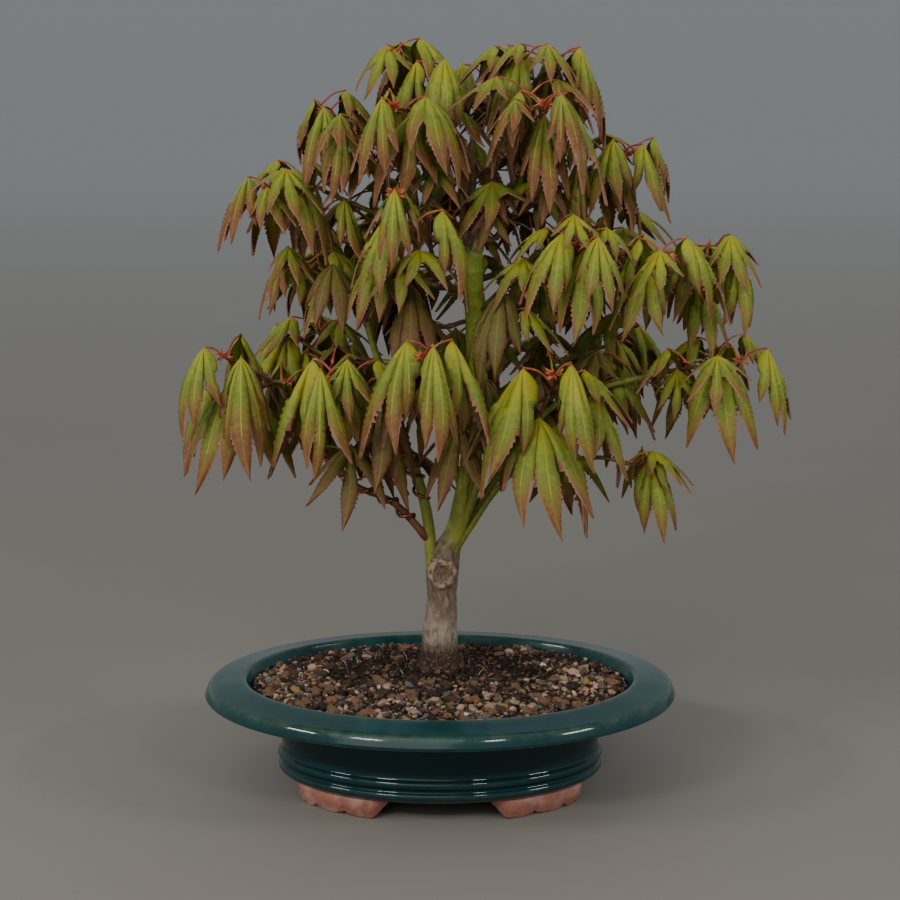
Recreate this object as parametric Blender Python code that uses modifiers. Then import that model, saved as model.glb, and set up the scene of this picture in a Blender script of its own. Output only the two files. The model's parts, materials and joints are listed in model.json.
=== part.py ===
"""Japanese maple bonsai in new spring leaf, in an oval glazed pot on four cloud feet.

Metres, +Z up, the front towards -Y. Every place below is measured from the pot's middle at
floor level, and the whole tree hangs on one empty that sets it over the middle of its footprint.

The tree is grown in three steps: the trunk and its limbs follow smooth lines through a few named
points, every foliage mass branches from one stem into shoots, and each shoot carries opposite
pairs of five-lobed leaves. A leaf that would leave its mass's space, or touch a limb or another
leaf, is turned, made smaller or hung steeper, and in the end left out.
"""

import math
import random
from dataclasses import dataclass

import bmesh
import bpy
from mathutils import Vector
from mathutils.bvhtree import BVHTree

CLEARANCE = 0.0003
POT_PLACE = Vector((-0.0214, 0.0, 0.0))
UP = Vector((0.0, 0.0, 1.0))

# Pot: heights above the floor, and insets from the rim's outer oval.
RIM_HALF_LENGTH = 0.125
RIM_HALF_WIDTH = 0.0995
DEEPEST_INSET = 0.055
OVAL_STEPS = 36
BASE_HEIGHT = 0.0115
FLOOR_HEIGHT = 0.017
LIP_WIDTH = 0.021
LIP_INNER_HEIGHT = 0.0634
LIP_OUTER_HEIGHT = 0.0592
LIP_THICKNESS = 0.0045
NECK_INSET = 0.0378
BASE_INSET = 0.0405

# Feet: each one follows the base oval between two turns, and its underside is three lobes.
FOOT_TURNS = (27.0, 72.0)
FOOT_WIDTH = 0.013
FOOT_NOTCH = 0.0022
FOOT_END_RISE = 0.0065
FOOT_LOBES = (
    (0.00, FOOT_END_RISE),
    (0.05, FOOT_NOTCH),
    (0.10, 0.0),
    (0.22, 0.0),
    (0.27, FOOT_NOTCH),
    (0.32, 0.0),
    (0.57, 0.0),
    (0.62, FOOT_NOTCH),
    (0.67, 0.0),
    (0.88, 0.0),
    (0.94, FOOT_NOTCH),
    (1.00, FOOT_END_RISE),
)

# Grit: a mound with a flat top under the trunk.
MOUND_HEIGHT = 0.063
MOUND_TOP_RADIUS = 0.022
GRIT_EDGE_HEIGHT = 0.0592
GRIT_RIPPLE = 0.0012

# Trunk: height, sideways place, depth and radius, from the flat foot to the healed top.
TRUNK_STATIONS = (
    (MOUND_HEIGHT + CLEARANCE, 0.0005, 0.010, 0.0123),
    (0.068, 0.0003, 0.010, 0.0113),
    (0.075, 0.0000, 0.010, 0.0098),
    (0.088, 0.0002, 0.010, 0.0089),
    (0.103, 0.0010, 0.010, 0.0079),
    (0.119, 0.0013, 0.010, 0.0086),
    (0.131, 0.0042, 0.010, 0.0072),
    (0.141, 0.0092, 0.010, 0.0061),
    (0.156, 0.0127, 0.009, 0.0059),
    (0.179, 0.0163, 0.006, 0.0055),
    (0.211, 0.0189, 0.004, 0.0054),
    (0.253, 0.0186, 0.002, 0.0054),
    (0.280, 0.0164, 0.000, 0.0057),
    (0.294, 0.0158, 0.000, 0.0066),
    (0.300, 0.0156, 0.000, 0.0048),
)
TRUNK_STEPS = 28
KNOT_PLACE = Vector((0.0011, 0.0028, 0.1185))
KNOT_RADIUS = 0.0062
KNOT_ROLL = 0.0021

LIMB_STEPS = 6
LIMB_SWAY = 0.0011
ROOT_OFFSET = 0.6
WIRE_RADIUS = 0.0009
WIRE_PITCH = 0.0125
WIRE_STEPS_A_TURN = 7

GOLDEN_TURN = math.radians(137.5)


@dataclass(frozen=True)
class Limb:
    """One tapering bough: it leaves its parent at a share of its length and runs through points."""

    name: str
    parent: str
    leaves_at: float
    through: tuple
    root_radius: float
    tip_radius: float


LIMBS = (
    Limb("limb_left", "trunk", 0.34,
         ((-0.008, 0.008, 0.157), (-0.019, 0.005, 0.182), (-0.027, 0.003, 0.214),
          (-0.038, 0.002, 0.252)),
         0.0032, 0.0016),
    Limb("limb_low_left", "limb_left", 0.13,
         ((-0.021, 0.004, 0.153), (-0.033, 0.003, 0.160), (-0.053, 0.002, 0.175), (-0.080, 0.000, 0.212)),
         0.0021, 0.0013),
    Limb("limb_left_inner", "limb_left", 0.76,
         ((-0.034, -0.006, 0.232), (-0.043, -0.014, 0.236)), 0.0014, 0.0010),
    Limb("limb_low_front", "trunk", 0.55,
         ((0.016, -0.012, 0.222), (0.008, -0.030, 0.240)), 0.0020, 0.0012),
    Limb("limb_low_front_right", "trunk", 0.48,
         ((0.032, -0.010, 0.198), (0.050, -0.028, 0.216)), 0.0021, 0.0012),
    Limb("limb_drop", "trunk", 0.41, ((0.040, -0.002, 0.176), (0.074, -0.010, 0.183)), 0.0016, 0.0010),
    Limb("limb_low_right", "trunk", 0.50,
         ((0.058, 0.004, 0.206), (0.116, 0.000, 0.226)), 0.0023, 0.0012),
    Limb("limb_low_back_right", "trunk", 0.58,
         ((0.046, 0.024, 0.218), (0.072, 0.040, 0.228)), 0.0020, 0.0012),
    Limb("limb_low_back", "trunk", 0.52,
         ((0.016, 0.030, 0.212), (0.010, 0.050, 0.224)), 0.0020, 0.0012),
    Limb("limb_low_back_left", "trunk", 0.60,
         ((-0.012, 0.022, 0.222), (-0.050, 0.040, 0.226)), 0.0020, 0.0012),
    Limb("limb_right", "trunk", 0.74, ((0.060, 0.004, 0.266), (0.112, 0.006, 0.286)), 0.0023, 0.0012),
    Limb("limb_mid_right", "limb_right", 0.62,
         ((0.088, -0.008, 0.286), (0.096, -0.015, 0.290)), 0.0014, 0.0010),
    Limb("limb_mid_right_front", "trunk", 0.80,
         ((0.040, -0.014, 0.276), (0.064, -0.026, 0.292)), 0.0018, 0.0011),
    Limb("limb_mid_back_right", "trunk", 0.84,
         ((0.042, 0.026, 0.278), (0.066, 0.042, 0.290)), 0.0018, 0.0011),
    Limb("limb_mid_back_left", "trunk", 0.82,
         ((-0.010, 0.024, 0.272), (-0.038, 0.042, 0.284)), 0.0018, 0.0011),
    Limb("limb_left_outer", "trunk", 0.90,
         ((-0.018, 0.002, 0.302), (-0.058, -0.004, 0.320)), 0.0019, 0.0011),
    Limb("limb_upper_left", "trunk", 0.93,
         ((-0.010, 0.000, 0.322), (-0.040, -0.002, 0.352)), 0.0018, 0.0011),
    Limb("limb_upper_right", "trunk", 0.94,
         ((0.029, 0.003, 0.296), (0.046, 0.001, 0.313), (0.072, 0.000, 0.329)),
         0.0017, 0.0010),
    Limb("limb_top_left", "trunk", 0.985,
         ((0.009, 0.000, 0.334), (-0.004, -0.002, 0.372)), 0.0019, 0.0011),
    Limb("limb_top_front", "limb_top_left", 0.42,
         ((0.001, -0.012, 0.346), (-0.006, -0.020, 0.356)), 0.0014, 0.0010),
    Limb("limb_top_right", "trunk", 0.975,
         ((0.028, 0.001, 0.332), (0.046, 0.000, 0.370)), 0.0019, 0.0011),
    Limb("limb_top_right_front", "limb_top_right", 0.42,
         ((0.034, -0.012, 0.350), (0.040, -0.020, 0.360)),
         0.0014, 0.0010),
    Limb("limb_top_back", "trunk", 0.965,
         ((0.018, 0.018, 0.324), (0.016, 0.034, 0.352)), 0.0018, 0.0010),
)


@dataclass(frozen=True)
class Mass:
    """One foliage mass: the space it keeps to, and the shoots that fill it."""

    name: str
    limb: str
    heart: tuple
    reach: tuple
    shoots: int
    leaf: float
    turn: float
    seed: int


MASSES = (
    Mass("foliage_left_inner", "limb_left_inner",
         (-0.048, -0.026, 0.194), (0.036, 0.036, 0.056), 2, 0.070, 225, 12),
    Mass("foliage_low_front", "limb_low_front",
         (0.002, -0.050, 0.210), (0.036, 0.036, 0.056), 2, 0.072, 235, 13),
    Mass("foliage_low_front_right", "limb_low_front_right",
         (0.058, -0.044, 0.196), (0.042, 0.036, 0.064), 3, 0.072, 275, 14),
    Mass("foliage_low_left", "limb_low_left",
         (-0.096, -0.005, 0.208), (0.042, 0.040, 0.048), 3, 0.064, 215, 11),
    Mass("foliage_drop", "limb_drop",
         (0.106, -0.012, 0.160), (0.024, 0.030, 0.030), 1, 0.048, 90, 15),
    Mass("foliage_low_right", "limb_low_right",
         (0.140, -0.002, 0.210), (0.038, 0.042, 0.038), 2, 0.058, 350, 16),
    Mass("foliage_low_back_right", "limb_low_back_right",
         (0.084, 0.050, 0.206), (0.042, 0.038, 0.048), 2, 0.062, 40, 18),
    Mass("foliage_low_back", "limb_low_back",
         (0.010, 0.058, 0.204), (0.040, 0.036, 0.050), 2, 0.064, 95, 17),
    Mass("foliage_low_back_left", "limb_low_back_left",
         (-0.064, 0.050, 0.206), (0.040, 0.036, 0.048), 2, 0.062, 140, 19),
    Mass("foliage_right", "limb_right",
         (0.136, 0.002, 0.254), (0.029, 0.038, 0.050), 2, 0.062, 340, 20),
    Mass("foliage_mid_right", "limb_mid_right",
         (0.108, -0.030, 0.264), (0.032, 0.032, 0.044), 2, 0.056, 300, 32),
    Mass("foliage_mid_right_front", "limb_mid_right_front",
         (0.070, -0.040, 0.274), (0.034, 0.032, 0.040), 2, 0.054, 290, 21),
    Mass("foliage_mid_front", "trunk",
         (0.040, -0.024, 0.250), (0.034, 0.032, 0.044), 2, 0.054, 300, 33),
    Mass("foliage_mid_back_right", "limb_mid_back_right",
         (0.078, 0.052, 0.264), (0.044, 0.038, 0.046), 2, 0.058, 60, 22),
    Mass("foliage_mid_back_left", "limb_mid_back_left",
         (-0.046, 0.052, 0.262), (0.038, 0.034, 0.046), 2, 0.058, 120, 23),
    Mass("foliage_mid_left", "limb_left",
         (-0.058, 0.000, 0.262), (0.030, 0.036, 0.034), 2, 0.046, 190, 24),
    Mass("foliage_centre_front", "trunk",
         (-0.018, -0.040, 0.300), (0.032, 0.032, 0.038), 2, 0.054, 250, 26),
    Mass("foliage_centre_left", "trunk",
         (-0.022, -0.016, 0.258), (0.028, 0.028, 0.040), 1, 0.052, 215, 34),
    Mass("foliage_left_outer", "limb_left_outer",
         (-0.072, -0.008, 0.300), (0.033, 0.036, 0.036), 2, 0.054, 200, 25),
    Mass("foliage_upper_left", "limb_upper_left",
         (-0.048, -0.004, 0.338), (0.026, 0.034, 0.034), 2, 0.054, 160, 35),
    Mass("foliage_upper_right", "limb_upper_right",
         (0.086, 0.000, 0.318), (0.030, 0.034, 0.034), 2, 0.052, 15, 27),
    Mass("foliage_upper_back", "trunk",
         (0.014, 0.046, 0.312), (0.050, 0.032, 0.044), 2, 0.056, 100, 28),
    Mass("foliage_top_front", "limb_top_front",
         (-0.014, -0.034, 0.343), (0.034, 0.032, 0.036), 2, 0.056, 240, 36),
    Mass("foliage_top_right_front", "limb_top_right_front",
         (0.044, -0.030, 0.340), (0.036, 0.032, 0.042), 2, 0.056, 300, 37),
    Mass("foliage_top_left", "limb_top_left",
         (-0.012, 0.000, 0.370), (0.033, 0.036, 0.032), 2, 0.054, 200, 29),
    Mass("foliage_top_right", "limb_top_right",
         (0.048, 0.000, 0.368), (0.034, 0.036, 0.032), 2, 0.054, 330, 30),
    Mass("foliage_top_back", "limb_top_back",
         (0.020, 0.042, 0.352), (0.040, 0.030, 0.036), 2, 0.052, 80, 31),
)

# Shoots: where they and their nodes stand, as shares of the mass's reach and of the shoot's length.
TOP_SHARE = 0.60
SHOOT_DROP = 0.30
SHOOT_SPREAD = 0.42
FORK_SHARE = 0.38
STEM_RISE = 0.022
STEM_TOP = 0.282
NODES_A_SHOOT = ((0.60, 1.0), (0.96, 0.88))
STEM_RADIUS = 0.0013
SHOOT_RADIUS = 0.0011
PETIOLE_RADIUS = 0.0007
PETIOLE_LENGTH = 0.0145
PETIOLE_RISE = 0.55
NODE_STANDOFF = 0.0002

# Leaf: five lobes, as shares of the middle lobe's length.
LOBE_TURNS = (-84.0, -42.0, 0.0, 42.0, 84.0)
LOBE_LENGTHS = (0.64, 0.88, 1.0, 0.88, 0.64)
LOBE_HALF_WIDTH = 0.125
WIDEST_AT = 0.54
NOTCH_REACH = 0.32
SINUS_REACH = 0.17
SINUS_TURN = 34.0
BLADE_HALF_THICKNESS = 0.0065
PLEAT_ROOM = 0.80
LEAST_SEEN = 0.45
MOST_FOLD = 0.35
LEAST_GAP = 0.0004
LIE = (30.0, 46.0)
HANG = (84.0, 96.0)
USUAL_LENGTH = 0.052
LIE_WITH_LENGTH = 500.0
SIDE_ROOM = 1.15
HEIGHT_ROOM = 1.12
TRIES = (
    (0.0, 1.0, 0.0),
    (24.0, 1.0, 6.0),
    (-24.0, 1.0, 6.0),
    (0.0, 0.86, 16.0),
    (45.0, 0.90, 12.0),
    (-45.0, 0.90, 12.0),
)


@dataclass(frozen=True)
class Leaf:
    """A leaf as it hangs: its node on the shoot, its peak, and how its lobes slope."""

    node: Vector
    peak: Vector
    facing: float
    length: float
    lie: float
    hang: float


# ---------------------------------------------------------------- tools


def smooth_line(points, steps):
    """Points along a Catmull-Rom line through the given points, each a tuple of numbers."""
    ends = [points[0]] + list(points) + [points[-1]]
    spans = len(points) - 1
    line = []
    for step in range(steps + 1):
        place = step / steps * spans
        span = min(int(place), spans - 1)
        t = place - span
        a, b, c, d = ends[span:span + 4]
        line.append(tuple(
            q + 0.5 * (r - p) * t + (p - 2.5 * q + 2 * r - 0.5 * s) * t ** 2
            + 0.5 * (3 * q - p - 3 * r + s) * t ** 3
            for p, q, r, s in zip(a, b, c, d)
        ))
    return line


def material(name, colour, roughness, metallic=0.0):
    """A plain principled material."""
    made = bpy.data.materials.new(name)
    made.use_nodes = True
    shader = made.node_tree.nodes["Principled BSDF"]
    shader.inputs["Base Color"].default_value = (*colour, 1.0)
    shader.inputs["Roughness"].default_value = roughness
    shader.inputs["Metallic"].default_value = metallic
    made.diffuse_color = (*colour, 1.0)
    return made


def new_object(name, data, collection, finish=None):
    """An object for this data in the collection, standing on the plant's empty."""
    made = bpy.data.objects.new(name, data)
    collection.objects.link(made)
    made.parent = bpy.data.objects["maple_bonsai"]
    if finish and not data.materials:
        data.materials.append(finish)
    return made


def tube_curve(name, points, radii, sides_setting, finish, collection):
    """A capped tube through the points, as a curve object; its radius changes from point to point."""
    curve = bpy.data.curves.new(name, "CURVE")
    curve.dimensions = "3D"
    curve.bevel_depth = 1.0
    curve.bevel_resolution = sides_setting
    curve.use_fill_caps = True
    spline = curve.splines.new("POLY")
    spline.points.add(len(points) - 1)
    for spot, place, radius in zip(spline.points, points, radii):
        spot.co = (*place, 1.0)
        spot.radius = radius
    return new_object(name, curve, collection, finish)


def as_mesh(curve_object, collection):
    """The curve's tube as a mesh object with welded caps; the curve itself is removed."""
    bpy.context.view_layer.update()
    graph = bpy.context.evaluated_depsgraph_get()
    mesh = bpy.data.meshes.new_from_object(curve_object.evaluated_get(graph))
    name = curve_object.name
    bpy.data.objects.remove(curve_object)
    shell = bmesh.new()
    shell.from_mesh(mesh)
    bmesh.ops.remove_doubles(shell, verts=shell.verts, dist=1e-5)
    shell.to_mesh(mesh)
    shell.free()
    made = new_object(name, mesh, collection)
    mesh.shade_smooth()
    return made


def join_with(target, operation, solver, operand):
    """A Boolean modifier that joins or cuts the target with an object or a collection."""
    boolean = target.modifiers.new(operation.lower(), "BOOLEAN")
    boolean.operation = operation
    boolean.solver = solver
    if isinstance(operand, bpy.types.Collection):
        boolean.operand_type = "COLLECTION"
        boolean.collection = operand
    else:
        boolean.object = operand
    return boolean


def apply_modifiers(target):
    """Bakes the object's modifiers into its mesh."""
    bpy.context.view_layer.update()
    graph = bpy.context.evaluated_depsgraph_get()
    mesh = bpy.data.meshes.new_from_object(target.evaluated_get(graph))
    target.modifiers.clear()
    target.data = mesh


# ---------------------------------------------------------------- pot, feet and grit


def oval_point(turn, inset):
    """The point of the rim's oval at this turn, moved in along the oval's own normal."""
    across = Vector((math.cos(turn) * RIM_HALF_LENGTH, math.sin(turn) * RIM_HALF_WIDTH, 0.0))
    normal = Vector((math.cos(turn) / RIM_HALF_LENGTH, math.sin(turn) / RIM_HALF_WIDTH, 0.0)).normalized()
    return across - normal * inset


def to_oval(mesh):
    """Stretches a turned form into the oval: its rings keep their inset all the way round."""
    least_radius = RIM_HALF_LENGTH - DEEPEST_INSET
    for spot in mesh.vertices:
        radius = math.hypot(spot.co.x, spot.co.y)
        turn = math.atan2(spot.co.y, spot.co.x)
        inset = RIM_HALF_LENGTH - max(radius, least_radius)
        share = min(1.0, radius / least_radius)
        place = oval_point(turn, inset) * share
        spot.co = (place.x, place.y, spot.co.z)


def turned_oval(name, profile, finish, collection):
    """A closed oval form from a profile of (radius, height) that runs from the axis, out, and back."""
    outline = bpy.data.meshes.new(name)
    edges = [(i, i + 1) for i in range(len(profile) - 1)]
    outline.from_pydata([(radius, 0.0, height) for radius, height in profile], edges, [])
    made = new_object(name, outline, collection, finish)
    screw = made.modifiers.new("turn", "SCREW")
    screw.steps = screw.render_steps = OVAL_STEPS
    screw.use_merge_vertices = True
    screw.merge_threshold = 1e-5
    screw.use_smooth_shade = True
    apply_modifiers(made)
    to_oval(made.data)
    made.data.set_sharp_from_angle(angle=math.radians(40))
    return made


def at_inset(*pairs):
    """Profile points from (inset, height) pairs."""
    return [(RIM_HALF_LENGTH - inset, height) for inset, height in pairs]


def inner_wall():
    """The inside of the pot from its floor to the lip, as (inset, height)."""
    return (
        (0.0500, FLOOR_HEIGHT),
        (0.0460, FLOOR_HEIGHT + 0.003),
        (0.0435, 0.040),
        (0.0345, 0.0495),
        (LIP_WIDTH + 0.0052, 0.0550),
        (LIP_WIDTH + 0.0018, 0.0612),
    )


def make_pot(finish, collection):
    """The glazed shell: a sloping lip, a hollow neck and a beaded base."""
    top, lip_top = LIP_INNER_HEIGHT, LIP_OUTER_HEIGHT
    lip_bottom = lip_top - LIP_THICKNESS
    profile = (
        [(0.0, FLOOR_HEIGHT)]
        + at_inset(*inner_wall())
        + at_inset(
            (LIP_WIDTH + 0.0010, top - 0.0006), (LIP_WIDTH - 0.0008, top),
            (0.0022, lip_top + 0.0004), (0.0006, lip_top - 0.0006),
            (0.0, lip_top - 0.0018), (0.0010, lip_bottom), (0.0040, lip_bottom - 0.0012),
            (0.0220, 0.0500), (0.0330, 0.0472), (NECK_INSET, 0.0430), (NECK_INSET + 0.0006, 0.0360),
            (BASE_INSET + 0.0002, 0.0278), (BASE_INSET - 0.0010, 0.0246), (BASE_INSET, 0.0208),
            (BASE_INSET - 0.0012, 0.0168), (BASE_INSET - 0.0002, 0.0135), (BASE_INSET + 0.0016, BASE_HEIGHT),
        )
        + [(0.0, BASE_HEIGHT)]
    )
    return turned_oval("pot", profile, finish, collection)


def make_grit(finish, collection):
    """The planting grit: it fills the pot to just under the lip, and rises to a mound at the trunk."""
    wall = [(inset + 2 * CLEARANCE, height + CLEARANCE) for inset, height in inner_wall()]
    (low_inset, low), (high_inset, high) = wall[-2], wall[-1]
    edge_share = (GRIT_EDGE_HEIGHT - low) / (high - low)
    edge_inset = low_inset + (high_inset - low_inset) * edge_share + CLEARANCE
    edge_radius = RIM_HALF_LENGTH - edge_inset
    top = [(0.0, MOUND_HEIGHT), (MOUND_TOP_RADIUS, MOUND_HEIGHT)]
    for share in (0.25, 0.5, 0.75, 1.0):
        radius = MOUND_TOP_RADIUS + (edge_radius - MOUND_TOP_RADIUS) * share
        top.append((radius, GRIT_EDGE_HEIGHT + (MOUND_HEIGHT - GRIT_EDGE_HEIGHT) * (1 - share) ** 0.8))
    profile = top + at_inset(*reversed(wall[:-1])) + [(0.0, FLOOR_HEIGHT + CLEARANCE)]
    grit = turned_oval("grit", profile, finish, collection)
    for spot in grit.data.vertices:
        radius = math.hypot(spot.co.x, spot.co.y)
        if spot.co.z > GRIT_EDGE_HEIGHT + 0.0002 and radius > MOUND_TOP_RADIUS + 0.002:
            spot.co.z += GRIT_RIPPLE * math.sin(spot.co.x * 190) * math.cos(spot.co.y * 230 + 1)
    return grit


def make_foot(name, side_x, side_y, finish, collection):
    """A cloud foot: a band under the base oval whose underside is three flat lobes."""
    low_turn, high_turn = (math.radians(turn) for turn in FOOT_TURNS)
    shell = bmesh.new()
    rings = []
    for share, rise in FOOT_LOBES:
        turn = low_turn + (high_turn - low_turn) * share
        end_inset = 0.004 if share in (0.0, 1.0) else 0.0
        corners = (
            (BASE_INSET + 0.0062 + end_inset, rise),
            (BASE_INSET + 0.0020 + end_inset, BASE_HEIGHT - CLEARANCE),
            (BASE_INSET + FOOT_WIDTH - end_inset, BASE_HEIGHT - CLEARANCE),
            (BASE_INSET + FOOT_WIDTH - 0.0015 - end_inset, rise),
        )
        ring = []
        for inset, height in corners:
            place = oval_point(turn, inset)
            ring.append(shell.verts.new((place.x * side_x, place.y * side_y, height)))
        rings.append(ring)
    for ring, following in zip(rings, rings[1:]):
        for i in range(4):
            j = (i + 1) % 4
            shell.faces.new((ring[i], ring[j], following[j], following[i]))
    shell.faces.new(rings[0])
    shell.faces.new(reversed(rings[-1]))
    bmesh.ops.recalc_face_normals(shell, faces=shell.faces)
    mesh = bpy.data.meshes.new(name)
    shell.to_mesh(mesh)
    shell.free()
    return new_object(name, mesh, collection, finish)


# ---------------------------------------------------------------- trunk, limbs and wire


def at_share(line, share):
    """The place and radius at this share of a line's steps."""
    points, radii = line
    step = share * (len(points) - 1)
    first = min(int(step), len(points) - 2)
    rest = step - first
    return points[first].lerp(points[first + 1], rest), radii[first] * (1 - rest) + radii[first + 1] * rest


def limb_line(limb, lines):
    """The limb's points and radii, from inside its parent out to its tip."""
    root, parent_radius = at_share(lines[limb.parent], limb.leaves_at)
    towards = (Vector(limb.through[0]) - root) * Vector((1.0, 1.0, 0.0))
    root += towards.normalized() * parent_radius * ROOT_OFFSET
    points = [Vector(p) for p in smooth_line([tuple(root), *limb.through], LIMB_STEPS)]
    sway = random.Random(limb.name)
    for i in range(2, len(points) - 2):
        points[i] += Vector([sway.uniform(-LIMB_SWAY, LIMB_SWAY) for _ in range(3)])
    radii = [
        limb.root_radius + (limb.tip_radius - limb.root_radius) * i / (len(points) - 1)
        for i in range(len(points))
    ]
    return points, radii


def all_lines():
    """The points and radii of the trunk and of every limb, by name."""
    stations = smooth_line(TRUNK_STATIONS, TRUNK_STEPS)
    lines = {"trunk": ([Vector((x, y, z)) for z, x, y, _ in stations], [radius for *_, radius in stations])}
    for limb in LIMBS:
        lines[limb.name] = limb_line(limb, lines)
    return lines


def make_trunk(lines, finish, collection):
    """The trunk with its root flare and lean, and the rolled scar of an old cut on its front."""
    points, radii = lines["trunk"]
    trunk = as_mesh(tube_curve("trunk", points, radii, 3, finish, collection), collection)
    for spot in trunk.data.vertices:
        if spot.co.z < TRUNK_STATIONS[0][0] + 0.001:
            spot.co.z = TRUNK_STATIONS[0][0]
    bpy.ops.mesh.primitive_torus_add(
        major_radius=KNOT_RADIUS, minor_radius=KNOT_ROLL, major_segments=12, minor_segments=6,
        location=KNOT_PLACE + POT_PLACE, rotation=(math.radians(90), 0.0, 0.0),
    )
    knot = bpy.context.object
    join_with(trunk, "UNION", "EXACT", knot)
    apply_modifiers(trunk)
    bpy.data.objects.remove(knot)


def make_limbs(lines, finish, collection, cutters):
    """Every bough, cut clear of the limb that it grows from."""
    clear = {}
    for limb in LIMBS:
        if limb.parent not in clear:
            points, radii = lines[limb.parent]
            wider = [radius + CLEARANCE for radius in radii]
            beyond = points[-1] + (points[-1] - points[-2]).normalized() * CLEARANCE
            tube = tube_curve(limb.parent + "_clear", points[:-1] + [beyond], wider, 3, None, cutters)
            clear[limb.parent] = as_mesh(tube, cutters)
            clear[limb.parent].hide_render = True
            clear[limb.parent].display_type = "WIRE"
        points, radii = lines[limb.name]
        bough = as_mesh(tube_curve(limb.name, points, radii, 1, finish, collection), collection)
        join_with(bough, "DIFFERENCE", "EXACT", clear[limb.parent])


def coil_round(line, first, last, start_turn):
    """Points of a wire wound round a limb from one share of its length to another."""
    points, radii = line
    lengths = [0.0]
    for a, b in zip(points, points[1:]):
        lengths.append(lengths[-1] + (b - a).length)
    steps = round((last - first) * lengths[-1] / WIRE_PITCH * WIRE_STEPS_A_TURN)
    wound = []
    for step in range(steps + 1):
        along = (first + (last - first) * step / steps) * lengths[-1]
        span = next(i for i in range(len(points) - 1) if along <= lengths[i + 1] + 1e-9)
        share = (along - lengths[span]) / (lengths[span + 1] - lengths[span])
        centre = points[span].lerp(points[span + 1], share)
        radius = radii[span] + (radii[span + 1] - radii[span]) * share
        before, after = points[max(span - 1, 0)], points[min(span + 2, len(points) - 1)]
        ahead = (after - before).normalized()
        side = ahead.cross(UP).normalized()
        over = side.cross(ahead)
        turn = start_turn + step / WIRE_STEPS_A_TURN * math.tau
        away = side * math.cos(turn) + over * math.sin(turn)
        wound.append(centre + away * (radius + WIRE_RADIUS + 2 * CLEARANCE))
    return wound


def make_wires(lines, finish, collection):
    """The copper training wire: one coil on each of the two low left limbs."""
    for name, limb, first, last, turn in (
        ("wire_low_left", "limb_low_left", 0.16, 0.93, 0.0),
        ("wire_left", "limb_left", 0.30, 0.70, 2.2),
    ):
        points = coil_round(lines[limb], first, last, turn)
        tube_curve(name, points, [WIRE_RADIUS] * len(points), 0, finish, collection)


# ---------------------------------------------------------------- leaves


def draped(leaf, lobe, along, across, pleated=True):
    """A point of a flat lobe, along its rib and across it, as it hangs from the leaf's peak.

    The lobes crowd together as they sink, so each is folded along its rib until it fits the room
    between its neighbours.
    """
    length = leaf.length * LOBE_LENGTHS[lobe]
    turn = leaf.facing + math.radians(LOBE_TURNS[lobe])
    bend = (leaf.hang - leaf.lie) / length
    slope = leaf.lie + bend * along
    reach = (math.sin(slope) - math.sin(leaf.lie)) / bend
    drop = (math.cos(leaf.lie) - math.cos(slope)) / bend
    out = Vector((math.cos(turn), math.sin(turn), 0.0))
    side = Vector((-math.sin(turn), math.cos(turn), 0.0))
    above = out * math.sin(slope) + UP * math.cos(slope)
    half_spread = math.radians(LOBE_TURNS[1] - LOBE_TURNS[0]) / 2
    room = max(reach, 0.0) * math.tan(half_spread) * PLEAT_ROOM
    seen = across
    if pleated:
        seen = math.copysign(min(abs(across), max(room, abs(across) * LEAST_SEEN)), across)
    fold = min(math.sqrt(max(across ** 2 - seen ** 2, 0.0)), abs(across) * MOST_FOLD)
    return leaf.peak + out * reach - UP * drop + side * seen - above * fold


def leaf_sheet(leaf):
    """The leaf's middle surface: its ridge points (the peak, then one a lobe), its rim and its faces."""
    last = len(LOBE_TURNS) - 1
    ridge, rim, faces = [leaf.peak], [], []
    first_rim = len(LOBE_TURNS) + 1
    for i in range(last + 2):
        between = 0 < i <= last
        spread = math.radians((LOBE_TURNS[1] - LOBE_TURNS[0]) / 2 if between else SINUS_TURN)
        reach = leaf.length * (NOTCH_REACH if between else SINUS_REACH)
        along, across = reach * math.cos(spread), reach * math.sin(spread)
        sides = []
        if i > 0:
            sides.append(draped(leaf, i - 1, along, across, between))
        if i <= last:
            sides.append(draped(leaf, i, along, -across, between))
        rim.append(sum(sides, Vector()) / len(sides))
        if i <= last:
            length = leaf.length * LOBE_LENGTHS[i]
            width = leaf.length * LOBE_HALF_WIDTH * (0.6 + 0.4 * LOBE_LENGTHS[i])
            ridge.append(draped(leaf, i, WIDEST_AT * length, 0.0))
            rim.append(draped(leaf, i, WIDEST_AT * length, -width))
            rim.append(draped(leaf, i, length, 0.0))
            rim.append(draped(leaf, i, WIDEST_AT * length, width))
            edge = [first_rim + 4 * i + k for k in range(5)]
            faces += [(i + 1, a, b) for a, b in zip(edge, edge[1:])]
            faces += [(0, edge[0], i + 1), (0, i + 1, edge[-1])]
    return ridge, rim, faces


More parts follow.
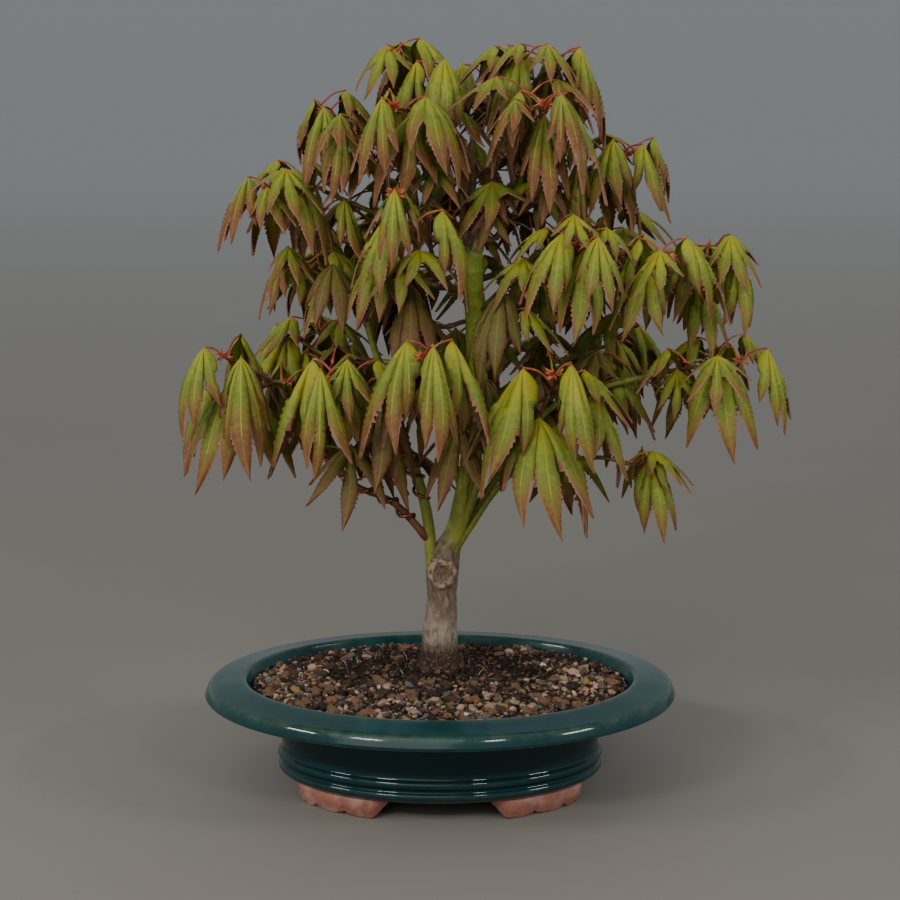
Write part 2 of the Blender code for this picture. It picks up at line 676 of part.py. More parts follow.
def leaf_shell(leaf, stalk=True):
    """The leaf's corners and faces: a thin closed blade, thick along its ridges, and its stalk."""
    ridge, rim, faces = leaf_sheet(leaf)
    count = len(ridge)
    sheet = ridge + rim
    normals = [Vector() for _ in ridge]
    for face in faces:
        a, b, c = (sheet[i] for i in face)
        normal = (b - a).cross(c - a).normalized()
        for i in face:
            if i < count:
                normals[i] += normal
    half = leaf.length * BLADE_HALF_THICKNESS
    over = [place + normal.normalized() * half for place, normal in zip(ridge, normals)]
    under = [place - normal.normalized() * half for place, normal in zip(ridge, normals)]
    corners = over + rim + under
    first_under = count + len(rim)
    faces = faces + [tuple(first_under + i if i < count else i for i in reversed(face)) for face in faces]
    ahead = (leaf.node - leaf.peak).normalized()
    side = ahead.cross(UP).normalized()
    above = side.cross(ahead)
    loops = [(0, first_under - 1, first_under, count)]
    root = leaf.node - ahead * NODE_STANDOFF
    for place, radius in ((leaf.peak + ahead * leaf.length * 0.035, half * 1.2), (root, PETIOLE_RADIUS)):
        first = len(corners)
        for x, z in ((0.0, 1.0), (0.87, -0.5), (-0.87, -0.5)):
            corners.append(place + (side * x + above * z) * radius)
        loops.append((first, first + 1, first + 1, first + 2))
        if not stalk:
            break
    for near_loop, far_loop in zip(loops, loops[1:]):
        for i in range(4):
            j = (i + 1) % 4
            face = tuple(dict.fromkeys((near_loop[j], near_loop[i], far_loop[i], far_loop[j])))
            if len(face) > 2:
                faces.append(face)
    faces.append(tuple(dict.fromkeys(loops[-1])))
    return corners, faces


def twig_shell(points, radii):
    """A three-sided twig through two or more points, with flat ends."""
    corners, faces = [], []
    side = Vector()
    for i, (place, radius) in enumerate(zip(points, radii)):
        before, after = points[max(i - 1, 0)], points[min(i + 1, len(points) - 1)]
        ahead = (after - before).normalized()
        side = ahead.cross(side.cross(ahead) if i else ahead.orthogonal()).normalized()
        over = ahead.cross(side)
        for k in range(3):
            turn = k * math.tau / 3
            corners.append(place + (side * math.cos(turn) + over * math.sin(turn)) * radius)
    for i in range(0, len(corners) - 3, 3):
        faces += [(i + k, i + (k + 1) % 3, i + 3 + (k + 1) % 3, i + 3 + k) for k in range(3)]
    last = len(corners) - 3
    return corners, faces + [(2, 1, 0), (last, last + 1, last + 2)]


class Space:
    """What has been placed so far, for telling whether a new piece would touch it."""

    def __init__(self):
        self.placed = []

    def add(self, owner, corners, faces):
        """Adds a closed shell under its owner's name."""
        middle = sum(corners, Vector()) / len(corners)
        size = max((c - middle).length for c in corners)
        self.placed.append((owner, middle, size, BVHTree.FromPolygons(corners, faces)))

    def touches(self, corners, faces, ignore=()):
        """True if the shell crosses, or comes too near, one whose owner isn't ignored."""
        middle = sum(corners, Vector()) / len(corners)
        size = max((c - middle).length for c in corners)
        tree = BVHTree.FromPolygons(corners, faces)
        for owner, other_middle, other_size, other in self.placed:
            if owner in ignore or (middle - other_middle).length > size + other_size + LEAST_GAP:
                continue
            if tree.overlap(other):
                return True
            if any(other.find_nearest(corner, LEAST_GAP)[0] is not None for corner in corners):
                return True
        return False


def crosses_itself(corners, faces):
    """True if two faces of the shell that share no corner touch."""
    tree = BVHTree.FromPolygons(corners, faces)
    return any(not set(faces[a]) & set(faces[b]) for a, b in tree.overlap(tree) if a < b)


def in_space(mass, corners):
    """True if every corner keeps within the room round the mass, sideways and in height."""
    for corner in corners:
        across, deep, high = (o / r for o, r in zip(corner - Vector(mass.heart), mass.reach))
        if math.hypot(across, deep) > SIDE_ROOM or abs(high) > HEIGHT_ROOM:
            return False
    return True


def stem_of(mass, lines):
    """The mass's stem: it starts square to its limb's tip, or to the trunk, and ends at the fork."""
    top = Vector(mass.heart) + UP * mass.reach[2] * TOP_SHARE
    points, radii = lines[mass.limb]
    if mass.limb == "trunk":
        height = min(top.z - STEM_RISE, STEM_TOP)
        place = min(range(len(points)), key=lambda i: abs(points[i].z - height))
        ahead = (top - points[place]) * Vector((1.0, 1.0, 0.0))
        ahead = ahead.normalized()
        start = points[place] + ahead * (radii[place] + 3 * CLEARANCE)
    else:
        ahead = (points[-1] - points[-2]).normalized()
        start = points[-1] + ahead * CLEARANCE
    return start, start + ahead * max((top - start).length * FORK_SHARE, 0.004)


def grow_shoots(mass, lines):
    """The mass's twigs as points and radii, the leader first, and the leaf nodes of each."""
    chance = random.Random(mass.seed)
    start, fork = stem_of(mass, lines)
    twigs, shoots = [], []
    for i in range(mass.shoots):
        turn = math.radians(mass.turn) + i * GOLDEN_TURN + chance.uniform(-0.2, 0.2)
        spread = SHOOT_SPREAD if mass.shoots > 1 else 0.0
        tip = Vector(mass.heart) + Vector((
            mass.reach[0] * spread * math.cos(turn),
            mass.reach[1] * spread * math.sin(turn),
            mass.reach[2] * (TOP_SHARE - SHOOT_DROP * i),
        ))
        if i == 0:
            twigs.append(((start, fork, tip), (STEM_RADIUS, STEM_RADIUS, SHOOT_RADIUS)))
        else:
            twigs.append(((fork, tip), (SHOOT_RADIUS, SHOOT_RADIUS)))
        shoots.append([
            (fork.lerp(tip, share), turn + math.radians(90) * (pair + 1), size)
            for pair, (share, size) in enumerate(NODES_A_SHOOT)
        ])
    return twigs, shoots


def ways_to_hang(mass, node, turn, size, chance):
    """The ways a leaf may hang from this node, the preferred one first."""
    facing = turn + chance.uniform(-0.25, 0.25)
    length = mass.leaf * size * chance.uniform(0.9, 1.08)
    stalk = PETIOLE_LENGTH * chance.uniform(0.75, 1.25)
    lie = chance.uniform(*LIE) + LIE_WITH_LENGTH * (mass.leaf - USUAL_LENGTH)
    hang = chance.uniform(*HANG)
    for swing, scale, steeper in TRIES:
        turned = facing + math.radians(swing)
        out = Vector((math.cos(turned), math.sin(turned), PETIOLE_RISE))
        peak = node + out * stalk * scale
        yield Leaf(node, peak, turned, length * scale, math.radians(lie + steeper), math.radians(hang))


def free_stalk(leaf):
    """The outer part of a leaf's stalk, clear of the shoot that it grows from."""
    return twig_shell((leaf.node.lerp(leaf.peak, 0.35), leaf.peak), (PETIOLE_RADIUS, PETIOLE_RADIUS))


def grow_foliage(lines, space):
    """Grows every mass. Returns its twigs and leaves by the mass's name."""
    grown = {}
    shoots_of = {}
    for mass in MASSES:
        twigs, shoots = grow_shoots(mass, lines)
        kept, bearing = [], []
        for i, (twig, nodes) in enumerate(zip(twigs, shoots)):
            if i == 0 or not space.touches(*twig_shell(*twig), ignore={mass.limb}):
                kept.append(twig)
                bearing.append(nodes)
        for twig in kept:
            space.add(mass.name, *twig_shell(*twig))
        grown[mass.name] = (kept, [])
        shoots_of[mass.name] = bearing
    for mass in MASSES:
        leaves = grown[mass.name][1]
        chance = random.Random(mass.seed * 7 + 1)
        for nodes in shoots_of[mass.name]:
            for node, turn, size in reversed(nodes):
                for opposite in (0.0, math.pi):
                    for leaf in ways_to_hang(mass, node, turn + opposite, size, chance):
                        blade, stalk = leaf_shell(leaf, stalk=False), free_stalk(leaf)
                        if not in_space(mass, blade[0]) or space.touches(*blade):
                            continue
                        if space.touches(*stalk, ignore={mass.name}) or crosses_itself(*leaf_shell(leaf)):
                            continue
                        space.add(mass.name + "_leaf", *blade)
                        space.add(mass.name + "_leaf", *stalk)
                        leaves.append(leaf)
                        break
    return grown


def fuse(name, shells, finish, collection):
    """Joins closed shells into one solid object with one Boolean union on a collection."""
    pieces = bpy.data.collections.new(name + "_pieces")
    bpy.context.scene.collection.children.link(pieces)
    made = None
    for number, (corners, faces) in enumerate(shells):
        shell = bmesh.new()
        spots = [shell.verts.new(c) for c in corners]
        for face in faces:
            shell.faces.new([spots[i] for i in face])
        bmesh.ops.recalc_face_normals(shell, faces=shell.faces)
        mesh = bpy.data.meshes.new(name)
        shell.to_mesh(mesh)
        shell.free()
        if made is None:
            made = new_object(name, mesh, collection, finish)
        else:
            new_object(f"{name}_{number}", mesh, pieces)
    join_with(made, "UNION", "MANIFOLD", pieces)
    apply_modifiers(made)
    for piece in list(pieces.objects):
        bpy.data.objects.remove(piece)
    bpy.data.collections.remove(pieces)
    return made


def taken_space(lines):
    """The space that the trunk and limbs take, as a start for growing leaves."""
    space = Space()
    for name, (points, radii) in lines.items():
        for i in range(len(points) - 1):
            space.add(name, *twig_shell(points[i:i + 2], (radii[i] * 1.7, radii[i + 1] * 1.7)))
    return space


def make_foliage(lines, finish, collection):
    """Every foliage mass: its twigs and leaves fused into one solid."""
    grown = grow_foliage(lines, taken_space(lines))
    for mass in MASSES:
        twigs, leaves = grown[mass.name]
        shells = [twig_shell(*twig) for twig in twigs] + [leaf_shell(leaf) for leaf in leaves]
        fuse(mass.name, shells, finish, collection)
        print(f"{mass.name}: {len(twigs)} shoots, {len(leaves)} leaves")
    print("leaves in all:", sum(len(leaves) for _, leaves in grown.values()))


def main():
    """Builds the whole plant in an empty scene."""
    for obj in list(bpy.data.objects):
        bpy.data.objects.remove(obj)
    plant = bpy.data.collections.new("maple_bonsai")
    cutters = bpy.data.collections.new("cutters")
    for collection in (plant, cutters):
        bpy.context.scene.collection.children.link(collection)
    stand = bpy.data.objects.new("maple_bonsai", None)
    stand.location = POT_PLACE
    plant.objects.link(stand)

    glaze = material("teal_glaze", (0.010, 0.100, 0.100), 0.15)
    clay = material("bare_clay", (0.42, 0.13, 0.07), 0.8)
    stones = material("grit", (0.10, 0.07, 0.05), 0.9)
    bark = material("bark", (0.20, 0.17, 0.10), 0.85)
    young_bark = material("young_bark", (0.14, 0.05, 0.03), 0.6)
    copper = material("copper_wire", (0.25, 0.06, 0.03), 0.3, 0.9)
    leaf_green = material("spring_leaf", (0.25, 0.30, 0.03), 0.5)

    make_pot(glaze, plant)
    make_grit(stones, plant)
    for name, side_x, side_y in (
        ("foot_front_left", -1, -1), ("foot_front_right", 1, -1),
        ("foot_back_left", -1, 1), ("foot_back_right", 1, 1),
    ):
        make_foot(name, side_x, side_y, clay, plant)
    lines = all_lines()
    make_trunk(lines, bark, plant)
    make_limbs(lines, young_bark, plant, cutters)
    make_wires(lines, copper, plant)
    make_foliage(lines, leaf_green, plant)


if __name__ == "__main__":
    main()
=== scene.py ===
"""Dresses the potted japanese maple: a small tree in spring leaf, in an oval glazed pot.

Metres, +Z up, the front towards -Y. Every place below is measured from the pot's middle at floor
level, and every piece stands on POT_PLACE, where the pot's middle is in the model. The crown grows
by the same rule as the solids do, from the same seeds, so each leaf hangs where its solid is; side
twigs then carry more and smaller leaves into the same spaces.
"""

import json
import logging
import random
from collections.abc import Iterable, Iterator, Sequence
from dataclasses import dataclass, field, replace
from enum import Enum
from math import atan2, copysign, cos, exp, hypot, pi, radians, sin, sqrt, tan, tau

import bpy
import numpy as np
from mathutils import Matrix, Vector, noise
from mathutils.bvhtree import BVHTree

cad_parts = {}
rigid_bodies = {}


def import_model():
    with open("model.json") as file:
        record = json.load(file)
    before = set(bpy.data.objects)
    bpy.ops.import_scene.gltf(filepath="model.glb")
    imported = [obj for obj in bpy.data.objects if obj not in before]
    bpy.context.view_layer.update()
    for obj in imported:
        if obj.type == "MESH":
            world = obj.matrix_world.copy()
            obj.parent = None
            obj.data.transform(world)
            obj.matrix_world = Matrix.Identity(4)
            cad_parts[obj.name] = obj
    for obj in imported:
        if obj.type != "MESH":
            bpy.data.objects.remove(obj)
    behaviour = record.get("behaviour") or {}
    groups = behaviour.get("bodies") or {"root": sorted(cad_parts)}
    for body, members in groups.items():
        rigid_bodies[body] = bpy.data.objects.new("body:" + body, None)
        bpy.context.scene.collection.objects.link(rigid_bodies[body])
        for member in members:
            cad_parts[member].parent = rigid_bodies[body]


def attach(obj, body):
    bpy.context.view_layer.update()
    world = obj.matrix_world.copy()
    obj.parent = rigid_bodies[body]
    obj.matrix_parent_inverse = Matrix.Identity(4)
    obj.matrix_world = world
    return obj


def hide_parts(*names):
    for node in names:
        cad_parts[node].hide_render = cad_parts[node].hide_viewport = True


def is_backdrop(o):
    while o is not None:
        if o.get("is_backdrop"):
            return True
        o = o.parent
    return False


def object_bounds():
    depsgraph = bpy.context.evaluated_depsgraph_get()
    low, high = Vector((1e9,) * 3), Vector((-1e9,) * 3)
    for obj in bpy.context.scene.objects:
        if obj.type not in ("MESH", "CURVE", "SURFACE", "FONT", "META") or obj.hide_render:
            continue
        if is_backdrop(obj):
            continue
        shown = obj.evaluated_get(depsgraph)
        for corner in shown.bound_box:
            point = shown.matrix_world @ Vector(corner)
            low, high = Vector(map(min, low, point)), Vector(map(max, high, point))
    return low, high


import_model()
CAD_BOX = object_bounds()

logging.basicConfig(level=logging.INFO, format="%(message)s")
LOG = logging.getLogger("maple")

Material = bpy.types.Material
Socket = bpy.types.NodeSocket
Colour = tuple[float, float, float]
Line = tuple[Sequence[Vector], Sequence[float]]
Shell = tuple[list[Vector], list[tuple[int, ...]]]

POT_PLACE = Vector((-0.0214, 0.0, 0.0))
UP = Vector((0.0, 0.0, 1.0))
LEVEL = Vector((1.0, 1.0, 0.0))
CLEARANCE = 0.0003
GOLDEN_TURN = radians(137.5)
CORNER_CUT = 0.22


# Tools


def smooth_line(points: Sequence[Sequence[float]], steps: int) -> list[tuple]:
    """Lays a Catmull-Rom line through points.

    Args:
        points: Rows of numbers, all of the same length.
        steps: How many steps the line has.

    Returns:
        The steps + 1 points of the line.
    """
    ends = [points[0], *points, points[-1]]
    spans = len(points) - 1
    line = []
    for step in range(steps + 1):
        place = step / steps * spans
        span = min(int(place), spans - 1)
        t = place - span
        line.append(tuple(
            q + 0.5 * (r - p) * t + (p - 2.5 * q + 2 * r - 0.5 * s) * t ** 2
            + 0.5 * (3 * q - p - 3 * r + s) * t ** 3
            for p, q, r, s in zip(*ends[span:span + 4])
        ))
    return line


def as_line(rows: Sequence[Sequence[float]]) -> Line:
    """The points and radii of rows of x, y, z and radius."""
    return [Vector(row[:3]) for row in rows], [row[3] for row in rows]


def refined(line: Line, steps: int) -> Line:
    """The line through the same points and radii in this many steps."""
    return as_line(smooth_line([(*place, radius) for place, radius in zip(*line)], steps))


def cut_corners(points: Sequence[tuple], rounds: int) -> np.ndarray:
    """Rounds an open outline by cutting its corners again and again.

    Args:
        points: The outline's points.
        rounds: How often every corner is cut.

    Returns:
        The rounded outline, with its two ends kept.
    """
    line = np.array(points, float)
    for _ in range(rounds):
        near, far = line[:-1], line[1:]
        cuts = np.stack([near + (far - near) * CORNER_CUT, far + (near - far) * CORNER_CUT], 1)
        line = np.concatenate([line[:1], cuts.reshape(-1, line.shape[1]), line[-1:]])
    return line


def ramp(value: np.ndarray | float, low: float, high: float) -> np.ndarray | float:
    """Eases from 0 at low to 1 at high."""
    share = np.clip((np.asarray(value, float) - low) / (high - low), 0.0, 1.0)
    return share * share * (3 - 2 * share)


def hump(away: float, width: float) -> float:
    """A rounded hump: 1 where away is 0, falling to nothing over about two widths."""
    return exp(-(away / width) ** 2)


def rough(place: Vector, scale: float) -> float:
    """A smooth random number from about -1 to 1 at this place, for a pattern of this scale."""
    return noise.noise(place * scale)


# Materials


@dataclass(frozen=True)
class Number:
    """A socket that carries numbers; arithmetic on it adds Math nodes to its material."""

    paint: "Paint"
    socket: Socket

    def maths(self, operation: str, *values: "Number | float") -> "Number":
        """The result of one Math node."""
        return self.paint.number("ShaderNodeMath", 0, dict(enumerate(values)), operation=operation)

    def __add__(self, other: "Number | float") -> "Number":
        """Self plus the other."""
        return self.maths("ADD", self, other)

    def __radd__(self, other: float) -> "Number":
        """The other plus self."""
        return self.maths("ADD", other, self)

    def __sub__(self, other: "Number | float") -> "Number":
        """Self less the other."""
        return self.maths("SUBTRACT", self, other)

    def __rsub__(self, other: float) -> "Number":
        """The other less self."""
        return self.maths("SUBTRACT", other, self)

    def __mul__(self, other: "Number | float") -> "Number":
        """Self times the other."""
        return self.maths("MULTIPLY", self, other)

    def __rmul__(self, other: float) -> "Number":
        """The other times self."""
        return self.maths("MULTIPLY", other, self)

    def eased(self, low: float, high: float) -> "Number":
        """Eases from 0 at low to 1 at high."""
        sockets = {"Value": self, "From Min": low, "From Max": high}
        return self.paint.number("ShaderNodeMapRange", "Result", sockets, interpolation_type="SMOOTHSTEP")


class Paint:
    """A material with its Principled shader, and the nodes that feed it."""

    def __init__(self, name: str) -> None:
        """Starts the material.

        Args:
            name: Its name.
        """
        self.material = bpy.data.materials.new(name)
        self.material.use_nodes = True
        self.tree = self.material.node_tree

    def node(self, kind: str, inputs: dict, **settings: object) -> bpy.types.Node:
        """Adds one node.

        Args:
            kind: The node's type name.
            inputs: For each socket's name or number, a value, a Number or a socket to link.
            **settings: What is set on the node before its sockets.

        Returns:
            The new node.
        """
        made = self.tree.nodes.new(kind)
        for name, value in settings.items():
            setattr(made, name, value)
        for name, value in inputs.items():
            self.feed(made.inputs[name], value)
        return made

    def number(self, kind: str, output: str | int, inputs: dict, **settings: object) -> Number:
        """Adds one node and gives the number at its output."""
        return Number(self, self.node(kind, inputs, **settings).outputs[output])

    def feed(self, socket: Socket, value: object) -> None:
        """Sets a socket to a plain value, or links a Number or another socket to it.

        Args:
            socket: The socket.
            value: What it gets.
        """
        value = value.socket if isinstance(value, Number) else value
        if isinstance(value, Socket):
            self.tree.links.new(value, socket)
        elif isinstance(value, tuple) and len(socket.default_value) == 4:
            socket.default_value = (*value, 1.0)
        else:
            socket.default_value = value

    def place(self) -> Socket:
        """The place on the object, in metres from the pot's middle."""
        return self.node("ShaderNodeTexCoord", {}).outputs["Object"]

    def along(self, axis: str) -> Number:
        """The place along one axis: Z is the height above the floor, Y the distance to the back."""
        return self.number("ShaderNodeSeparateXYZ", axis, {0: self.place()})

    def mark(self, name: str) -> Number:
        """A number that the mesh keeps at its corners under this name."""
        return self.number("ShaderNodeAttribute", "Fac", {}, attribute_name=name)

    def grain(self, scale: float, detail: float, stretch: Colour | None = None) -> Number:
        """Smooth noise from 0 to 1.

        Args:
            scale: How many times the pattern repeats in a metre.
            detail: How many finer layers it has.
            stretch: How the pattern is scaled along each axis, if not evenly.

        Returns:
            The noise as a number.
        """
        where = self.place()
        if stretch:
            where = self.node("ShaderNodeVectorMath", {0: where, 1: stretch}, operation="MULTIPLY").outputs[0]
        return self.number("ShaderNodeTexNoise", 0, {"Vector": where, "Scale": scale, "Detail": detail})

    def blend(self, share: Number | float, first: object, second: object) -> Socket:
        """Mixes two colours by a share from 0, all first, to 1, all second."""
        return self.node("ShaderNodeMix", {0: share, 6: first, 7: second}, data_type="RGBA").outputs[2]

    def relief(self, height: Number, depth: float, strength: float = 1.0) -> Socket:
        """A bumped normal from a height pattern that is this deep in metres."""
        sockets = {"Height": height, "Distance": depth, "Strength": strength}
        return self.node("ShaderNodeBump", sockets).outputs[0]

    def finished(self, **sockets: object) -> Material:
        """Feeds the shader and gives the material.

        Args:
            **sockets: What each of its sockets gets, named in small letters with _ for a space.

        Returns:
            The material.
        """
        shader = self.tree.nodes["Principled BSDF"]
        for name, value in sockets.items():
            self.feed(shader.inputs[name.replace("_", " ").title().replace("Ior", "IOR")], value)
        return self.material


@dataclass(frozen=True)
class Glaze:
    """Glossy stoneware glaze: dark on the wall, greener on the lip, thin and brownish on the edges."""

    wall: Colour = (0.0026, 0.0260, 0.0330)
    lip: Colour = (0.0012, 0.0395, 0.0420)
    pale: Colour = (0.0130, 0.0800, 0.0780)
    deep: Colour = (0.0012, 0.0240, 0.0290)
    thin: Colour = (0.0700, 0.1050, 0.0600)

    def made(self) -> Material:
        """Makes the material.

        Returns:
            The glaze.
        """
        paint = Paint("teal_glaze")
        cloud = paint.grain(34.0, 5.0).eased(0.46, 0.66)
        pool = paint.grain(19.0, 4.0).eased(0.50, 0.66)
        fleck = paint.grain(900.0, 2.0).eased(0.60, 0.78)
        colour = paint.blend(paint.mark("lip"), self.wall, self.lip)
        colour = paint.blend(cloud * 0.45 * paint.mark("lip") + fleck * 0.10, colour, self.pale)
        colour = paint.blend(pool * 0.50 * paint.mark("lip"), colour, self.deep)
        worn = paint.mark("edge") * (0.20 + paint.grain(160.0, 4.0).eased(0.34, 0.66) * 0.50)
        return paint.finished(
            base_color=paint.blend(worn, colour, self.thin), specular_ior_level=0.34,
            roughness=0.045 + paint.mark("lip") * (1 - paint.mark("edge")) * 0.14,
            normal=paint.relief(paint.grain(55.0, 2.0), 0.0010, 0.12),
        )


@dataclass(frozen=True)
class FiredClay:
    """Unglazed terracotta with fine sand in it."""

    main: Colour = (0.380, 0.150, 0.105)
    pale: Colour = (0.480, 0.250, 0.200)
    dark: Colour = (0.200, 0.070, 0.045)

    def made(self) -> Material:
        """Makes the material.

        Returns:
            The clay.
        """
        paint = Paint("bare_clay")
        colour = paint.blend(paint.grain(90.0, 4.0).eased(0.42, 0.68), self.main, self.pale)
        colour = paint.blend(paint.grain(60.0, 5.0).eased(0.56, 0.74) * 0.7, colour, self.dark)
        sand = paint.grain(1400.0, 2.0)
        return paint.finished(
            base_color=paint.blend(sand.eased(0.60, 0.72) * 0.5, colour, self.dark),
            roughness=0.72 + sand * 0.2, normal=paint.relief(paint.grain(220.0, 4.0) + sand * 0.5, 0.0007),
        )


@dataclass(frozen=True)
class Bark:
    """Trunk bark: grey and flaky low down, smooth olive green above, earth-stained at the foot; its top is
    blended to a brighter green, partly greener young bark and partly painted light against the crown's shade.
    """

    grey: Colour = (0.190, 0.136, 0.092)
    bloom: Colour = (0.335, 0.268, 0.205)
    brown: Colour = (0.095, 0.058, 0.036)
    green: Colour = (0.215, 0.225, 0.022)
    lime: Colour = (0.320, 0.335, 0.034)
    # Partly painted light: the brighter green that the trunk's top is blended to, lifting it out of the crown's
    # shade.
    bright: Colour = (0.330, 0.440, 0.040)
    earth: Colour = (0.022, 0.012, 0.007)
    clod: Colour = (0.135, 0.066, 0.030)
    callus: Colour = (0.370, 0.262, 0.165)
    heart: Colour = (0.165, 0.092, 0.066)

    def made(self) -> Material:
        """Makes the material.

        Returns:
            The bark.
        """
        paint = Paint("bark")
        height = paint.along("Z")
        streaks = paint.grain(520.0, 5.0, (1.0, 1.0, 0.30))
        flakes = paint.grain(400.0, 6.0, (1.0, 1.0, 0.60))
        patches = paint.grain(90.0, 4.0)
        specks = paint.grain(1300.0, 2.0).eased(0.60, 0.70)
        bloom = (height + patches * 0.012).eased(0.080, 0.090)
        bloom = bloom * (1 - (height + patches * 0.02).eased(0.096, 0.116))
        colour = paint.blend(streaks.eased(0.40, 0.64), self.grey, self.brown)
        colour = paint.blend(flakes.eased(0.52, 0.70) * 0.5, colour, self.bloom)
        colour = paint.blend(bloom * (streaks + flakes).eased(0.80, 1.10) * 0.9, colour, self.bloom)
        colour = paint.blend(specks * 0.45, colour, self.bloom)
        colour = paint.blend(paint.grain(1100.0, 2.0).eased(0.60, 0.72) * 0.45, colour, self.brown)
        young = paint.blend(patches.eased(0.36, 0.64), self.green, self.lime)
        # Partly painted light: the trunk's top turns to a brighter green where the crown shades it.
        young = paint.blend(height.eased(0.185, 0.245) * 0.9, young, self.bright)
        young = paint.blend(specks * 0.6, young, self.callus)
        greening = (height + flakes * 0.012 + paint.mark("rightward") * 0.006).eased(0.134, 0.146)
        colour = paint.blend(greening, colour, young)
        ring = paint.mark("callus")
        split = paint.blend(paint.grain(520.0, 4.0).eased(0.46, 0.60) * 0.8, self.heart, self.brown)
        colour = paint.blend(paint.mark("heart"), colour, split)
        colour = paint.blend((ring * 1.5).eased(0.2, 0.9) * flakes.eased(0.30, 0.52), colour, self.callus)
        seam = (ring * (1 - ring) * 4.0).eased(0.35, 0.95) * paint.grain(420.0, 3.0).eased(0.40, 0.58)
        colour = paint.blend(seam * 0.85, colour, self.brown)
        colour = paint.blend(height.eased(0.286, 0.293) * flakes.eased(0.34, 0.52), colour, self.heart)
        soiled = 1 - (height + flakes * 0.012 + streaks * 0.004).eased(0.080, 0.090)
        crumbs = paint.blend(paint.grain(800.0, 5.0).eased(0.48, 0.64) * 0.9, self.earth, self.clod)
        fissures = streaks + flakes * 0.8 + paint.grain(900.0, 3.0) * 0.5
        return paint.finished(
            base_color=paint.blend(soiled, colour, crumbs), roughness=0.88 - greening * 0.30,
            normal=paint.relief(fissures, 0.0006, 0.9),
        )


class YoungBark(Enum):
    """Smooth bark of a limb, twig or leaf stalk: its name, its main colour and its mottling."""

    GREEN = ("green_bark", (0.195, 0.210, 0.022), (0.280, 0.265, 0.035))
    RED = ("red_bark", (0.130, 0.036, 0.022), (0.210, 0.090, 0.040))
    BROWN = ("brown_bark", (0.135, 0.066, 0.028), (0.200, 0.150, 0.040))
    STALK = ("leaf_stalk", (0.330, 0.060, 0.030), (0.420, 0.180, 0.050))
    BUD = ("bud_scale", (0.520, 0.075, 0.030), (0.600, 0.200, 0.080))

    def made(self) -> Material:
        """Makes the material.

        Returns:
            The bark.
        """
        name, main, mottled = self.value
        paint = Paint(name)
        patches = paint.grain(210.0, 4.0)
        return paint.finished(
            base_color=paint.blend(patches.eased(0.44, 0.66), main, mottled),
            roughness=0.42 + patches * 0.25, normal=paint.relief(paint.grain(1500.0, 2.0), 0.0002, 0.6),
        )


LIMB_BARKS = (YoungBark.GREEN, YoungBark.RED, YoungBark.BROWN)


@dataclass(frozen=True)
class Copper:
    """Annealed copper wire, browned in use."""

    bright: Colour = (0.560, 0.200, 0.120)
    browned: Colour = (0.160, 0.048, 0.030)

    def made(self) -> Material:
        """Makes the material.

        Returns:
            The copper.
        """
        paint = Paint("copper_wire")
        tarnish = paint.grain(320.0, 3.0).eased(0.34, 0.62)
        return paint.finished(
            base_color=paint.blend(tarnish, self.bright, self.browned), metallic=0.92,
            roughness=0.26 + tarnish * 0.24, normal=paint.relief(paint.grain(700.0, 2.0), 0.0002, 0.5),
        )


class Tone(Enum):
    """The plain tones of a leaf, from its ribs and peak out to its tips, then the shaded ones: darker, browner
    copies that are painted shade for leaves deep in the crown.
    """

    RIB = (0.330, 0.332, 0.035)
    LIME = (0.350, 0.320, 0.022)
    SPRING = (0.272, 0.294, 0.028)
    FRESH = (0.206, 0.248, 0.028)
    LEAFY = (0.172, 0.204, 0.024)
    OLIVE = (0.204, 0.166, 0.022)
    BRONZE = (0.206, 0.122, 0.026)
    RUSSET = (0.206, 0.080, 0.030)
    SALMON = (0.250, 0.102, 0.052)
    ROSE = (0.318, 0.156, 0.100)
    # Painted shade: darker, browner copies of the leaf tones, dealt to leaves deep in the crown.
    SHADE_RIB = (0.190, 0.156, 0.032)
    SHADE_GREEN = (0.128, 0.104, 0.020)
    SHADE_OLIVE = (0.134, 0.078, 0.020)
    SHADE_BROWN = (0.136, 0.050, 0.023)
    SHADE_MAROON = (0.142, 0.040, 0.026)

    @property
    def number(self) -> int:
        """Its place in the list, which is its material's place on a leaf piece."""
        return list(Tone).index(self)

    def made(self) -> Material:
        """Makes the material, soft and with fine veinlets.

        Returns:
            The leaf's skin.
        """
        paint = Paint("leaf_" + self.name.lower())
        cells = paint.number("ShaderNodeTexVoronoi", "Distance", {"Vector": paint.place(), "Scale": 1300.0})
        return paint.finished(
            base_color=self.value, roughness=0.42 + paint.grain(260.0, 2.0) * 0.22,
            specular_ior_level=0.25, normal=paint.relief(cells, 0.00022, 0.55),
        )


class Stone(Enum):
    """The kinds of grit: their colour, their share of the whole and their roughness."""

    DARK = ((0.022, 0.014, 0.010), 0.22, 0.85)
    SLATE = ((0.110, 0.100, 0.092), 0.13, 0.70)
    BROWN = ((0.150, 0.085, 0.045), 0.20, 0.90)
    BURNT = ((0.062, 0.031, 0.018), 0.18, 0.90)
    RUST = ((0.210, 0.090, 0.046), 0.07, 0.85)
    SAND = ((0.330, 0.225, 0.135), 0.12, 0.85)
    PINK = ((0.470, 0.280, 0.205), 0.050, 0.80)
    OCHRE = ((0.290, 0.170, 0.045), 0.018, 0.85)
    CHALK = ((0.600, 0.530, 0.460), 0.012, 0.80)

    def made(self) -> Material:
        """Makes the material.

        Returns:
            The stone's skin.
        """
        colour, _, roughness = self.value
        paint = Paint("grit_" + self.name.lower())
        pits = paint.grain(1600.0, 3.0)
        return paint.finished(
            base_color=colour, roughness=roughness - 0.12 + pits * 0.2, specular_ior_level=0.35,
            normal=paint.relief(pits, 0.0005),
        )


